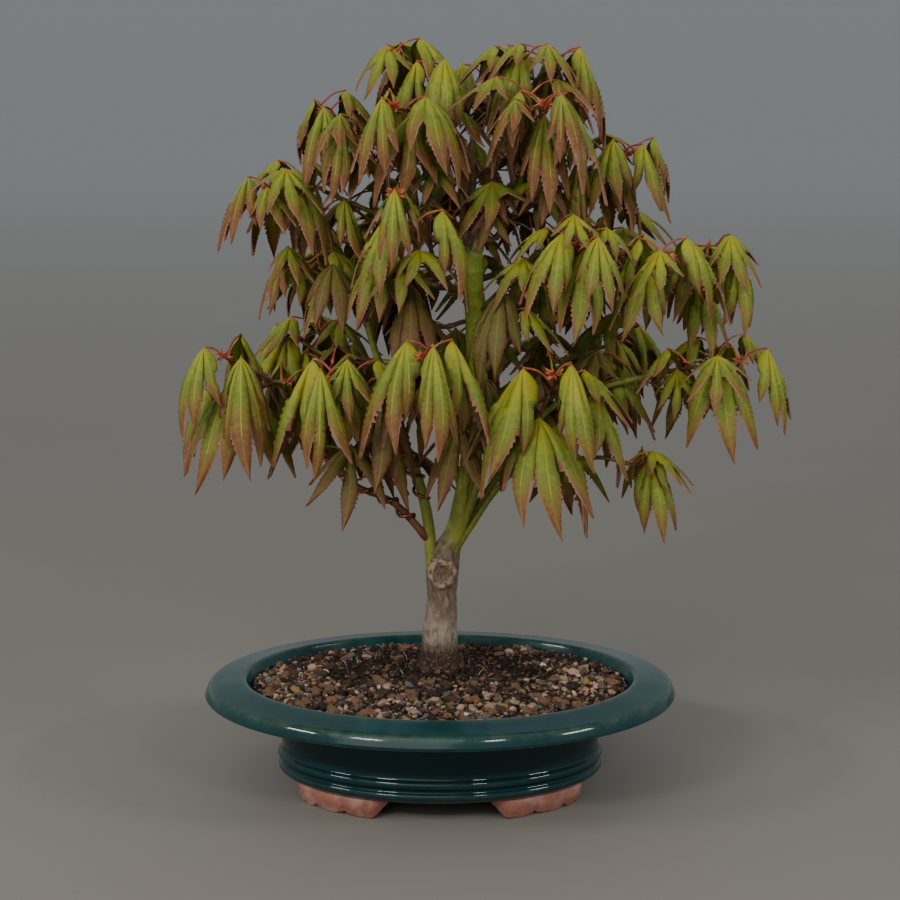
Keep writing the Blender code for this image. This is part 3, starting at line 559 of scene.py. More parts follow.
@dataclass(frozen=True)
class Humus:
    """Damp dark compost between the grit."""

    wet: Colour = (0.010, 0.006, 0.004)
    dry: Colour = (0.055, 0.030, 0.018)

    def made(self) -> Material:
        """Makes the material.

        Returns:
            The compost.
        """
        paint = Paint("humus")
        crumbs = paint.grain(480.0, 6.0)
        return paint.finished(
            base_color=paint.blend(crumbs.eased(0.38, 0.68), self.wet, self.dry), roughness=0.92,
            specular_ior_level=0.15, normal=paint.relief(crumbs, 0.0018),
        )


@dataclass(frozen=True)
class PaleFloor:
    """A plain pale studio floor, paler towards the back."""

    near: Colour = (0.255, 0.236, 0.204)
    mottled: Colour = (0.232, 0.214, 0.184)
    far: Colour = (0.356, 0.364, 0.368)
    near_end: float = 0.1
    far_end: float = 4.5

    def made(self) -> Material:
        """Makes the material.

        Returns:
            The floor's finish.
        """
        paint = Paint("pale_floor")
        colour = paint.blend(paint.grain(6.0, 3.0), self.near, self.mottled)
        colour = paint.blend(paint.along("Y").eased(self.near_end, self.far_end), colour, self.far)
        return paint.finished(base_color=colour, roughness=0.85)


# Meshes


def ring_faces(rings: int, sides: int) -> list[tuple]:
    """The faces between neighbouring rings of corners.

    Args:
        rings: How many rings there are.
        sides: How many corners each has.

    Returns:
        The faces, ring after ring.
    """
    return [
        (i + k, i + (k + 1) % sides, i + sides + (k + 1) % sides, i + sides + k)
        for i in range(0, (rings - 1) * sides, sides) for k in range(sides)
    ]


@dataclass
class Shape:
    """Corners and faces of one mesh, with a finish for each face and marks at the corners."""

    smooth: bool = True
    corners: list[tuple] = field(default_factory=list)
    faces: list[tuple] = field(default_factory=list)
    finishes: list[int] = field(default_factory=list)
    marks: dict[str, Sequence[float]] = field(default_factory=dict)

    def add(self, corners: Sequence, faces: Sequence, finish: int | np.ndarray = 0) -> None:
        """Adds corners and the faces among them.

        Args:
            corners: Their places, three numbers each.
            faces: Faces as corner numbers.
            finish: The number of the faces' material, one for all or one for each face.
        """
        self.faces += [tuple(len(self.corners) + number for number in face) for face in faces]
        self.finishes += np.broadcast_to(finish, len(faces)).tolist()
        self.corners += [tuple(corner) for corner in corners]

    def add_rings(
        self, corners: Sequence, sides: int, start: Sequence, end: Sequence, finish: int = 0
    ) -> None:
        """Adds a closed body of rings round a line.

        Args:
            corners: The rings' corners, ring after ring.
            sides: How many corners a ring has.
            start: The middle of the end before the first ring.
            end: The middle of the end after the last ring.
            finish: The number of its material.
        """
        middle, last = len(corners), len(corners) - sides
        caps = [(middle, (k + 1) % sides, k) for k in range(sides)]
        caps += [(middle + 1, last + k, last + (k + 1) % sides) for k in range(sides)]
        self.add([*corners, start, end], ring_faces(middle // sides, sides) + caps, finish)

    def tube(self, line: Line, sides: int, finish: int = 0) -> None:
        """Adds a tapering tube with rounded ends.

        Args:
            line: Its middle line's points and radii.
            sides: How many sides it has.
            finish: The number of its material.
        """
        points, radii = line
        rings, side = [], (points[1] - points[0]).orthogonal()
        for i, (place, radius) in enumerate(zip(points, radii)):
            ahead = (points[min(i + 1, len(points) - 1)] - points[max(i - 1, 0)]).normalized()
            side = (side - ahead * side.dot(ahead)).normalized()
            over = ahead.cross(side)
            for k in range(sides):
                turn = k * tau / sides
                rings.append(place + (side * cos(turn) + over * sin(turn)) * radius)
        start = points[0] + (points[0] - points[1]).normalized() * radii[0] * 0.5
        end = points[-1] + (points[-1] - points[-2]).normalized() * radii[-1] * 0.5
        self.add_rings(rings, sides, start, end, finish)

    def mesh(self, name: str) -> bpy.types.Mesh:
        """Builds the mesh.

        Args:
            name: Its name.

        Returns:
            The mesh.
        """
        made = bpy.data.meshes.new(name)
        made.from_pydata(self.corners, [], self.faces)
        made.polygons.foreach_set("material_index", self.finishes)
        for mark, values in self.marks.items():
            made.attributes.new(mark, "FLOAT", "POINT").data.foreach_set("value", values)
        made.validate()
        if self.smooth:
            made.shade_smooth()
        else:
            made.shade_flat()
        return made

    def stand(self, name: str, finishes: list, slot: str, nodes: Sequence[str] = ()) -> None:
        """Stands the shape on the plant's place as one piece of the model.

        Args:
            name: The piece's name.
            finishes: Its materials, in the order of their numbers.
            slot: The material slot's name in the record; not used.
            nodes: The solids that it stands for.
        """
        mesh = self.mesh(name)
        for finish in finishes:
            mesh.materials.append(finish)
        made = bpy.data.objects.new(name, mesh)
        made.location = POT_PLACE
        bpy.context.scene.collection.objects.link(made)
        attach(made, "root")
        if nodes:
            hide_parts(*nodes)
        LOG.info("%s: %d triangles", name, len(mesh.loops) - 2 * len(mesh.polygons))


# Pot and grit


@dataclass(frozen=True)
class Oval:
    """The rim's oval, which every ring of the pot keeps an inset from."""

    half_length: float = 0.125
    half_width: float = 0.0995
    deepest_inset: float = 0.055

    def points(self, turns: np.ndarray, insets: np.ndarray | float) -> np.ndarray:
        """Places on the oval, moved in along its own normal.

        Args:
            turns: Turns round the oval, in radians.
            insets: How far each point is moved in; past the deepest inset the oval only shrinks.

        Returns:
            One (x, y) row for each turn and inset.
        """
        held = np.minimum(insets, self.deepest_inset)
        normal = np.stack([np.cos(turns) / self.half_length, np.sin(turns) / self.half_width], -1)
        normal /= np.linalg.norm(normal, axis=-1, keepdims=True)
        rim = np.stack([np.cos(turns) * self.half_length, np.sin(turns) * self.half_width], -1)
        share = (self.half_length - insets) / (self.half_length - held)
        return (rim - normal * np.asarray(held)[..., None]) * np.asarray(share)[..., None]


@dataclass
class Pot:
    """The oval pot: a sloping lip, a hollow neck and a beaded base, all softened by the glaze."""

    oval: Oval = field(default_factory=Oval)
    base_height: float = 0.0115
    floor_height: float = 0.017
    lip_width: float = 0.021
    lip_inner_height: float = 0.0634
    lip_outer_height: float = 0.0592
    lip_thickness: float = 0.0045
    neck_inset: float = 0.0378
    base_inset: float = 0.0405
    inmost: float = 0.1249
    steps: int = 168

    def outline(self) -> list[tuple]:
        """Draws the pot's outline, from the inner floor round to the foot ring.

        Returns:
            Its points as (inset, height, share of lip, share of edge).
        """
        low, top, lip, inner, bottom = (
            self.floor_height, self.lip_inner_height, self.lip_outer_height, self.lip_width, self.base_height
        )
        under, neck, base = lip - self.lip_thickness, self.neck_inset, self.base_inset
        return [
            (self.inmost, low, 1, 0), (0.0500, low, 1, 0), (0.0460, low + 0.003, 1, 0), (0.0435, 0.040, 1, 0),
            (0.0345, 0.0495, 1, 0), (inner + 0.0052, 0.0550, 1, 0), (inner + 0.0018, 0.0612, 1, 0.1),
            (inner + 0.0010, top - 0.0004, 1, 0.7), (inner - 0.0008, top, 1, 0.7),
            (inner - 0.0030, top - 0.0003, 1, 0.1), (0.0120, lip + 0.0028, 1, 0), (0.0060, lip + 0.0018, 1, 0),
            (0.0034, lip + 0.0013, 1, 0.6), (0.0022, lip + 0.0004, 0.9, 1.0), (0.0014, lip - 0.0010, 0.8, 0.4),
            (0.0004, lip - 0.0034, 0.6, 0.05), (0.0, under + 0.0002, 0.5, 0.2),
            (0.0008, under - 0.0012, 0.5, 0.4), (0.0028, under - 0.0022, 0.4, 0.2), (0.0220, 0.0490, 0.1, 0),
            (0.0330, 0.0460, 0, 0), (neck, 0.0420, 0, 0), (neck + 0.0010, 0.0350, 0, 0),
            (base + 0.0002, 0.0278, 0, 0), (base - 0.0004, 0.0248, 0, 0), (base - 0.0018, 0.0234, 0.2, 0.2),
            (base - 0.0023, 0.0220, 0.3, 0.3), (base - 0.0018, 0.0206, 0.1, 0.1), (base - 0.0005, 0.0190, 0, 0),
            (base - 0.0005, 0.0180, 0, 0), (base - 0.0016, 0.0168, 0.2, 0.2), (base - 0.0020, 0.0154, 0.3, 0.3),
            (base - 0.0012, 0.0138, 0.1, 0.1), (base + 0.0002, 0.0126, 0, 0.2),
            (base + 0.0016, bottom + 0.0002, 0, 0.6), (base + 0.0034, bottom, 0, 0.8),
            (self.inmost, bottom, 0, 0),
        ]

    def build(self) -> None:
        """Turns the outline round the oval and glazes it."""
        insets, heights, lip, edge = cut_corners(self.outline(), 3).T
        turns, deep = np.meshgrid(np.arange(self.steps) / self.steps * tau, insets)
        rise = 0.00018 * np.sin(turns * 3 + 1) * ramp(heights, 0.05, 0.06)[:, None]
        corners = np.dstack([self.oval.points(turns, deep), heights[:, None] + rise])
        shape = Shape()
        ends = [(0.0, 0.0, self.floor_height), (0.0, 0.0, self.base_height)]
        shape.add_rings(corners.reshape(-1, 3), self.steps, *ends)
        for mark, values in (("lip", lip), ("edge", edge)):
            shape.marks[mark] = np.append(np.repeat(values, self.steps), [0.0, 0.0])
        shape.stand("glazed_pot", [Glaze().made()], "teal_glaze", ["pot"])


@dataclass
class Feet:
    """Four cloud feet: bands of clay under the base, with lobed faces and lobed soles."""

    pot: Pot
    turns: tuple[float, float] = (27.0, 72.0)
    width: float = 0.013
    end_rise: float = 0.0065
    notch: float = 0.0024
    lean: float = 0.0040
    round_off: float = 0.0018
    sole_inset: float = 0.0012
    relief: float = 0.00176
    lobe_ends: tuple[float, ...] = (0.0, 0.075, 0.27, 0.62, 1.0)
    steps: int = 90
    bands: int = 10

    def section(self, share: float) -> list[tuple[float, float]]:
        """Draws the foot's cross-section at a place.

        Args:
            share: The place, as a share of the foot's length.

        Returns:
            Its points as (inset, height), round its band.
        """
        start, end = [ends for ends in zip(self.lobe_ends, self.lobe_ends[1:]) if share >= ends[0]][-1]
        full = sin(pi * ((share - start) / (end - start))) ** 0.45
        ends = float(max(ramp(0.06 - share, 0.0, 0.06), ramp(share - 0.86, 0.0, 0.14)))
        bottom = max(self.notch * (1 - full) + self.end_rise * ends, 0.00002)
        top = self.pot.base_height - CLEARANCE
        front = self.pot.base_inset + 0.0020 + 0.0040 * ends - 0.0004 * full
        back = self.pot.base_inset + self.width - 0.004 * ends
        side = []
        for height in np.linspace(top, min(bottom + self.round_off, top - 0.001), self.bands):
            up = (height - bottom) / (top - bottom)
            side.append((front + self.lean * (1 - up) ** 1.6 - 0.0006 * full * sin(pi * up), height))
        corner, edge = side[-1][0], self.sole_inset
        sole = [corner + edge, (corner + edge + back - edge) / 2, back - edge]
        return [
            *side, (corner + 0.0005, bottom + 0.0004), *((inset, bottom) for inset in sole),
            (back, bottom + edge), (back, top),
        ]

    def build(self) -> None:
        """Builds the four feet from one clay."""
        clay = FiredClay().made()
        low, high = (radians(turn) for turn in self.turns)
        for node, x_side, y_side in (
            ("foot_front_left", -1, -1), ("foot_front_right", 1, -1),
            ("foot_back_left", -1, 1), ("foot_back_right", 1, 1),
        ):
            corners = []
            for share in (step / self.steps for step in range(self.steps + 1)):
                for inset, height in self.section(share):
                    x, y = self.pot.oval.points(np.array(low + (high - low) * share), inset) * (x_side, y_side)
                    grow = 1 + rough(Vector((x, y, height)), 260.0) * self.relief
                    corners.append((x * grow, y * grow, height))
            size = len(corners) // (self.steps + 1)
            first, last = tuple(range(size))[::-1], tuple(range(len(corners) - size, len(corners)))
            faces = [*ring_faces(self.steps + 1, size), first, last]
            shape = Shape()
            shape.add(corners, [face[::-1] for face in faces] if x_side * y_side > 0 else faces)
            shape.stand("clay_" + node, [clay], "bare_clay", [node])


@dataclass
class GritBed:
    """The planting grit: dark compost under thousands of stones, heaped a little round the trunk."""

    pot: Pot
    mound_height: float = 0.0630
    mound_radius: float = 0.022
    edge_height: float = 0.0592
    skirt_height: float = 0.0535
    trunk_place: tuple[float, float] = (0.0005, 0.010)
    bare: tuple[float, float] = (0.078, 0.064)
    wall_gap: float = 0.0042
    trunk_room: float = 0.0105
    steps: int = 180
    seed: int = 3

    def half_sizes(self, further_in: float) -> tuple[float, float]:
        """Half the bed's length and width, this much further in than the pot's wall."""
        inset = self.pot.lip_width + self.wall_gap + further_in
        return self.pot.oval.half_length - inset, self.pot.oval.half_width - inset

    def from_trunk(self, x: float, y: float) -> float:
        """How far a place is from the trunk's middle."""
        return hypot(x - self.trunk_place[0], y - self.trunk_place[1])

    def surface(self, x: float, y: float) -> float:
        """Measures the bed's height, uneven as heaped grit is.

        Args:
            x: The place to the right.
            y: The place to the back.

        Returns:
            The height above the floor.
        """
        rim_x, rim_y = self.half_sizes(0.0)
        radius = hypot(x / rim_x, y / rim_y) * rim_x
        share = min(max((radius - self.mound_radius) / (rim_x - self.mound_radius), 0.0), 1.0)
        height = self.edge_height + (self.mound_height - self.edge_height) * (1 - share) ** 0.8
        place = Vector((x, y, 0.0))
        height += 0.0024 * hump(max(self.from_trunk(x, y) - 0.012, 0.0), 0.007)
        return height - 0.0006 + 0.0010 * rough(place, 45.0) + 0.0007 * rough(place, 140.0)

    def ground(self) -> None:
        """Builds the compost between the stones, down to a skirt that the pot hides."""
        turns = np.arange(self.steps) / self.steps * tau
        wall = self.pot.lip_width + self.wall_gap
        corners = [(x, y, self.skirt_height) for x, y in self.pot.oval.points(turns, wall + 0.008)]
        for inset in np.linspace(wall + 0.0004, self.pot.oval.half_length - 0.001, 64):
            for x, y in self.pot.oval.points(turns, inset):
                corners.append((x, y, self.surface(x, y) + 0.0006 * rough(Vector((x, y, 0.1)), 600.0)))
        shape = Shape()
        ends = [(0.0, 0.0, self.skirt_height), (0.0, 0.0, self.surface(0.0, 0.0))]
        shape.add_rings(corners, self.steps, *ends)
        shape.stand("compost", [Humus().made()], "grit", ["grit"])

    def stones(self, name: str, count: int, sizes: tuple[float, float], finishes: list) -> None:
        """Scatters stones over the bed.

        Args:
            name: The piece's name.
            count: How many stones are thrown.
            sizes: The least and greatest half-length of a stone.
            finishes: The materials, one for each kind of stone.
        """
        chance = np.random.default_rng(self.seed + count)
        draw = chance.uniform
        ball, faces = self.ball()
        half_x, half_y = self.half_sizes(0.0008)
        weights = np.array([kind.value[1] for kind in Stone])
        shape = Shape(smooth=False)
        for _ in range(count):
            turn, share = draw(0, tau), sqrt(draw(0, 1))
            x, y = half_x * share * cos(turn), half_y * share * sin(turn)
            near = self.from_trunk(x, y)
            across, deep = (x - self.trunk_place[0]) / self.bare[0], (y - self.trunk_place[1]) / self.bare[1]
            bare = hypot(across, deep) < 0.75 + 0.35 * rough(Vector((x, y, 0.3)), 60.0) and deep > -0.24
            if near < self.trunk_room or (bare and draw() < (0.55 if sizes[0] < 0.001 else 0.92)):
                continue
            size = sizes[0] + (sizes[1] - sizes[0]) * draw() ** 2.2
            size = min(size, (1 - share) * half_y + 0.0007)
            stretch = size * np.array([1.0, draw(0.6, 0.95), draw(0.40, 0.75)])
            places = ball * (1 + chance.normal(0, 0.17, (len(ball), 1))) * stretch
            spans = ((0.0, tau, "Z"), (-0.5, 0.5, "X"), (-0.5, 0.5, "Y"))
            spin, lean, tilt = (Matrix.Rotation(draw(low, high), 3, axis) for low, high, axis in spans)
            turned = places @ np.array(spin @ lean @ tilt).T
            height = self.surface(x, y) + draw(-0.25, 0.45) * size + 0.0003
            kind = chance.choice(len(weights), p=weights / weights.sum())
            if bare or draw() < (0.4 if near < 0.052 else 0.55 * (y > 0.022)):
                kind = chance.choice([0, 0, 3, 2])
            shape.add(turned + [x, y, height], faces, kind)
        shape.stand(name, finishes, "grit")

    @staticmethod
    def ball() -> tuple[np.ndarray, list]:
        """Shapes a rough stone before it is knocked about.

        Returns:
            Its twelve corners and twenty faces.
        """
        long, short = 0.850651, 0.525731
        corners = np.array([
            (-short, long, 0), (short, long, 0), (-short, -long, 0), (short, -long, 0),
            (0, -short, long), (0, short, long), (0, -short, -long), (0, short, -long),
            (long, 0, -short), (long, 0, short), (-long, 0, -short), (-long, 0, short),
        ])
        return corners, [
            (0, 11, 5), (0, 5, 1), (0, 1, 7), (0, 7, 10), (0, 10, 11), (1, 5, 9), (5, 11, 4),
            (11, 10, 2), (10, 7, 6), (7, 1, 8), (3, 9, 4), (3, 4, 2), (3, 2, 6), (3, 6, 8),
            (3, 8, 9), (4, 9, 5), (2, 4, 11), (6, 2, 10), (8, 6, 7), (9, 8, 1),
        ]

    def fibres(self) -> None:
        """Scatters short dry roots and moss stalks."""
        chance = random.Random(self.seed)
        draw = chance.uniform
        shape = Shape()
        for _ in range(150):
            turn, share = draw(0, tau), draw(0.15, 0.95)
            x = (self.pot.oval.half_length - 0.027) * share * cos(turn)
            y = (self.pot.oval.half_width - 0.027) * share * sin(turn)
            if self.from_trunk(x, y) < 0.014:
                continue
            points = [Vector((x, y, self.surface(x, y) - 0.0004))]
            ahead = Vector((draw(-1, 1), draw(-1, 1), draw(0.2, 1.1))).normalized()
            for _ in range(4):
                ahead += Vector([draw(-0.5, 0.5) for _ in range(3)])
                points.append(points[-1] + ahead.normalized() * draw(0.0008, 0.0018))
            radius = draw(0.00012, 0.00022)
            shape.tube((points, [radius * (1 - 0.15 * i) for i in range(5)]), 4, chance.choice([0, 0, 1]))
        shape.stand("fibres", [Stone.SAND.made(), Stone.CHALK.made()], "grit")

    def build(self) -> None:
        """Lays the compost, the stones and the fibres."""
        self.ground()
        finishes = [kind.made() for kind in Stone]
        self.stones("grit_fine", 5600, (0.0007, 0.0020), finishes)
        self.stones("grit_coarse", 1500, (0.0015, 0.0039), finishes)
        self.fibres()


# Trunk, limbs and wire


def metres(*millimetres: float) -> tuple:
    """The same measures in metres."""
    return tuple(round(measure / 1000, 6) for measure in millimetres)


def wood(name: str) -> str:
    """The node's name of a limb, or of the trunk."""
    return name if name == "trunk" else "limb_" + name


@dataclass(frozen=True)
class Limb:
    """One tapering bough: it leaves its parent at a share of its length and runs through points."""

    name: str
    parent: str
    leaves_at: float
    through: tuple
    root_radius: float
    tip_radius: float

    def bark(self) -> YoungBark:
        """Its bark: red under the long wire, green low on the trunk, and brown elsewhere."""
        low = self.parent == "trunk" and self.leaves_at < 0.62
        return YoungBark.RED if self.name == "limb_low_left" else YoungBark.GREEN if low else YoungBark.BROWN


LIMBS = tuple(
    Limb(wood(name), wood(parent), share, tuple(metres(*place) for place in through), *metres(*radii))
    for name, parent, share, through, radii in (
        ("left", "trunk", 0.34, ((-8, 8, 157), (-19, 5, 182), (-27, 3, 214), (-38, 2, 252)), (3.2, 1.6)),
        ("low_left", "left", 0.13, ((-21, 4, 153), (-33, 3, 160), (-53, 2, 175), (-80, 0, 212)), (2.1, 1.3)),
        ("left_inner", "left", 0.76, ((-34, -6, 232), (-43, -14, 236)), (1.4, 1.0)),
        ("low_front", "trunk", 0.55, ((16, -12, 222), (8, -30, 240)), (2.0, 1.2)),
        ("low_front_right", "trunk", 0.48, ((32, -10, 198), (50, -28, 216)), (2.1, 1.2)),
        ("drop", "trunk", 0.41, ((40, -2, 176), (74, -10, 183)), (1.6, 1.0)),
        ("low_right", "trunk", 0.50, ((58, 4, 206), (116, 0, 226)), (2.3, 1.2)),
        ("low_back_right", "trunk", 0.58, ((46, 24, 218), (72, 40, 228)), (2.0, 1.2)),
        ("low_back", "trunk", 0.52, ((16, 30, 212), (10, 50, 224)), (2.0, 1.2)),
        ("low_back_left", "trunk", 0.60, ((-12, 22, 222), (-50, 40, 226)), (2.0, 1.2)),
        ("right", "trunk", 0.74, ((60, 4, 266), (112, 6, 286)), (2.3, 1.2)),
        ("mid_right", "right", 0.62, ((88, -8, 286), (96, -15, 290)), (1.4, 1.0)),
        ("mid_right_front", "trunk", 0.80, ((40, -14, 276), (64, -26, 292)), (1.8, 1.1)),
        ("mid_back_right", "trunk", 0.84, ((42, 26, 278), (66, 42, 290)), (1.8, 1.1)),
        ("mid_back_left", "trunk", 0.82, ((-10, 24, 272), (-38, 42, 284)), (1.8, 1.1)),
        ("left_outer", "trunk", 0.90, ((-18, 2, 302), (-58, -4, 320)), (1.9, 1.1)),
        ("upper_left", "trunk", 0.93, ((-10, 0, 322), (-40, -2, 352)), (1.8, 1.1)),
        ("upper_right", "trunk", 0.94, ((29, 3, 296), (46, 1, 313), (72, 0, 329)), (1.7, 1.0)),
        ("top_left", "trunk", 0.985, ((9, 0, 334), (-4, -2, 372)), (1.9, 1.1)),
        ("top_front", "top_left", 0.42, ((1, -12, 346), (-6, -20, 356)), (1.4, 1.0)),
        ("top_right", "trunk", 0.975, ((28, 1, 332), (46, 0, 370)), (1.9, 1.1)),
        ("top_right_front", "top_right", 0.42, ((34, -12, 350), (40, -20, 360)), (1.4, 1.0)),
        ("top_back", "trunk", 0.965, ((18, 18, 324), (16, 34, 352)), (1.8, 1.0)),
    )
)


@dataclass
class Skeleton:
    """The middle lines of the trunk and of every limb, which all the wood grows on."""

    limb_steps: int = 6
    limb_sway: float = 0.0011
    root_offset: float = 0.6
    trunk_steps: int = 28
    stations: tuple = (
        (0.5, 10, 63.3, 12.3), (0.3, 10, 68, 11.3), (0, 10, 75, 9.8), (0.2, 10, 88, 8.9), (1.0, 10, 103, 7.9),
        (1.3, 10, 119, 8.6), (4.2, 10, 131, 7.2), (9.2, 10, 141, 6.1), (12.7, 9, 156, 5.9), (16.3, 6, 179, 5.5),
        (18.9, 4, 211, 5.4), (18.6, 2, 253, 5.4), (16.4, 0, 280, 5.7), (15.8, 0, 294, 6.6), (15.6, 0, 300, 4.8),
    )

    def trunk(self, steps: int) -> Line:
        """The trunk's middle line and radii in this many steps."""
        return as_line(smooth_line([metres(*station) for station in self.stations], steps))

    def lines(self) -> dict[str, Line]:
        """Runs a line up the trunk, and one along every limb from inside its parent out to its tip.

        Returns:
            The lines by name.
        """
        found = {"trunk": self.trunk(self.trunk_steps)}
        for limb in LIMBS:
            points, radii = found[limb.parent]
            step = limb.leaves_at * (len(points) - 1)
            first = min(int(step), len(points) - 2)
            rest = step - first
            root = points[first].lerp(points[first + 1], rest)
            towards = (Vector(limb.through[0]) - root) * LEVEL
            width = radii[first] * (1 - rest) + radii[first + 1] * rest
            root += towards.normalized() * width * self.root_offset
            places = [Vector(place) for place in smooth_line([tuple(root), *limb.through], self.limb_steps)]
            sway = random.Random(limb.name)
            for place in places[2:-2]:
                place += Vector([sway.uniform(-self.limb_sway, self.limb_sway) for _ in range(3)])
            taper = limb.tip_radius - limb.root_radius
            widths = [limb.root_radius + taper * i / self.limb_steps for i in range(self.limb_steps + 1)]
            found[limb.name] = places, widths
        return found


@dataclass
class Trunk:
    """The trunk: flared foot, flaky grey bark, a healed cut on its front and a healed top."""

    skeleton: Skeleton
    rings: int = 340
    sides: int = 84
    knot: tuple[float, float] = (0.0011, 0.1185)
    knot_radius: float = 0.0061
    knot_roll: float = 0.0013
    knot_depth: float = 0.0009
    node_rings: tuple[float, ...] = (0.178, 0.204, 0.224, 0.243, 0.262, 0.279)

    def build(self) -> None:
        """Builds the trunk in relief and marks its callus and its cut face."""
        points, radii = self.skeleton.trunk(self.rings)
        corners, facts = [], []
        for place, radius in zip(points, radii):
            for k in range(self.sides):
                turn = k * tau / self.sides
                out = Vector((cos(turn), sin(turn), 0.0))
                spot = place + out * (radius + self.relief(place, out, radius))
                ring, core = self.cut(spot, out)
                spot += Vector((0.0, -1.0, 0.0)) * ring * self.knot_roll
                spot += out * 0.5 * ring * self.knot_roll * abs(out.x)
                spot += Vector((0.0, 1.0, 0.0)) * core * self.knot_depth
                corners.append(spot)
                facts.append((ring, core, out.x))
        shape = Shape()
        shape.add_rings(corners, self.sides, points[0], points[-1] - UP * 0.0012)
        for mark, values in zip(("callus", "heart", "rightward"), zip(*facts)):
            shape.marks[mark] = np.array([*values, 0.0, 0.0])
        shape.stand("trunk_bark", [Bark().made()], "bark", ["trunk"])

    def relief(self, place: Vector, out: Vector, radius: float) -> float:
        """Raises the bark: fissures low down, faint node rings above, a burl round the healed top.

        Args:
            place: The place on the trunk's middle line.
            out: The way out from it.
            radius: The trunk's radius there.

        Returns:
            How far the bark stands out.
        """
        spot = place + out * radius
        low = 1 - ramp(place.z, 0.118, 0.150)
        stretched = Vector((spot.x, spot.y, spot.z * 0.18))
        fissures = rough(stretched, 620.0) * 0.00030 + rough(stretched, 1500.0) * 0.00016
        lumps = rough(spot, 110.0) * 0.00050
        foot = 1 - ramp(place.z, 0.064, 0.078)
        flare = foot * 0.0009 * sin(atan2(out.y, out.x) * 5 + 0.8)
        flare += foot * (rough(spot, 420.0) * 0.0010 + rough(spot, 1100.0) * 0.0006)
        above = ramp(place.z, 0.150, 0.170)
        rings = sum(hump(place.z - height, 0.0013) for height in self.node_rings)
        crown = ramp(place.z, 0.284, 0.292)
        burl = crown * (rough(spot, 330.0) * 0.0014 + rough(spot, 800.0) * 0.0005)
        smooth = above * (rings * 0.00045 + rough(spot, 160.0) * 0.00025)
        return low * (fissures + lumps) + flare + smooth + burl

    def cut(self, spot: Vector, out: Vector) -> tuple[float, float]:
        """Tells how much of the healed cut lies at a spot.

        Args:
            spot: The place on the bark.
            out: The way out from the trunk's middle there.

        Returns:
            The shares of the callus ring and of the sunken wood in it.
        """
        if out.y > 0.1:
            return 0.0, 0.0
        away = hypot(spot.x - self.knot[0], (spot.z - self.knot[1]) * 0.94)
        away += rough(spot, 240.0) * 0.0011 + rough(spot, 620.0) * 0.0005
        ring = hump(away - self.knot_radius, 0.0018) * (
            0.80 + 0.45 * rough(spot, 300.0) + 0.18 * rough(spot, 800.0)
        )
        core = 1 - ramp(away, self.knot_radius - 0.0046, self.knot_radius - 0.0016)
        fade = ramp(0.1 - out.y, 0.0, 0.35)
        return ring * fade, core * fade


@dataclass
class Boughs:
    """The limbs: smooth tapering shoots with a ring at each old pair of buds."""

    lines: dict[str, Line]
    sides: int = 14
    node_spacing: float = 0.021
    collar: float = 0.22

    def swollen(self, line: Line) -> Line:
        """Lets a limb's root into its parent and swells the limb at its collar and its nodes.

        Args:
            line: The limb's line.

        Returns:
            The swollen line, in finer steps.
        """
        points, radii = line
        ahead = ((points[1] - points[0]) * LEVEL).normalized()
        inside = points[0] - (ahead + UP * 0.3) * radii[0]
        places, widths = refined(([inside, *points], [radii[0], *radii]), len(points) * 7)
        along, half = 0.0, 0.5 * self.node_spacing
        swell = []
        for i, place in enumerate(places):
            along += (place - places[i - 1]).length if i else 0.0
            node = 0.30 * hump((along + half) % self.node_spacing - half, 0.0011)
            swell.append(1 + node + self.collar * hump(along - 0.0040, 0.0035) - 0.5 * hump(along, 0.0014))
        return places, [width * more for width, more in zip(widths, swell)]

    def build(self) -> None:
        """Builds every limb in the bark of its age."""
        shape = Shape()
        for limb in LIMBS:
            shape.tube(self.swollen(self.lines[limb.name]), self.sides, LIMB_BARKS.index(limb.bark()))
        finishes = [bark.made() for bark in LIMB_BARKS]
        shape.stand("boughs", finishes, "young_bark", [limb.name for limb in LIMBS])


@dataclass
class Wires:
    """The copper training wire: a coil on each of the two low left limbs."""

    lines: dict[str, Line]
    radius: float = 0.0009
    pitch: float = 0.0125
    steps_a_turn: int = 24
    coarse_steps: int = 7

    def build(self) -> None:
        """Winds both wires."""
        copper = Copper().made()
        for name, first, last, start_turn in (("low_left", 0.10, 0.97, 0.0), ("left", 0.30, 0.70, 2.2)):
            points, radii = self.lines[wood(name)]
            spans = [far - near for near, far in zip(points, points[1:])]
            lengths = np.cumsum([0.0, *(span.length for span in spans)]).tolist()
            spans = [span.normalized() for span in spans]
            ways = [spans[0], *((before + after) / 2 for before, after in zip(spans, spans[1:])), spans[-1]]
            turns = round((last - first) * lengths[-1] / self.pitch * self.coarse_steps) / self.coarse_steps
            steps = round(turns * self.steps_a_turn)
            wound = []
            for step in range(steps + 1):
                along = (first + (last - first) * step / steps) * lengths[-1]
                i = next(i for i in range(len(spans)) if along <= lengths[i + 1] + 1e-9)
                share = (along - lengths[i]) / (lengths[i + 1] - lengths[i])
                radius = radii[i] + (radii[i + 1] - radii[i]) * share
                ahead = ways[i].lerp(ways[i + 1], share).normalized()
                side = ahead.cross(UP).normalized()
                turn = start_turn + step / steps * turns * tau
                away = side * cos(turn) + side.cross(ahead) * sin(turn)
                wound.append(points[i].lerp(points[i + 1], share) + away * (radius * 1.06 + self.radius))
            shape = Shape()
            shape.tube((wound, [self.radius] * len(wound)), 12)
            shape.stand("copper_wire_" + name, [copper], "copper_wire", ["wire_" + name])


# Growth of the crown


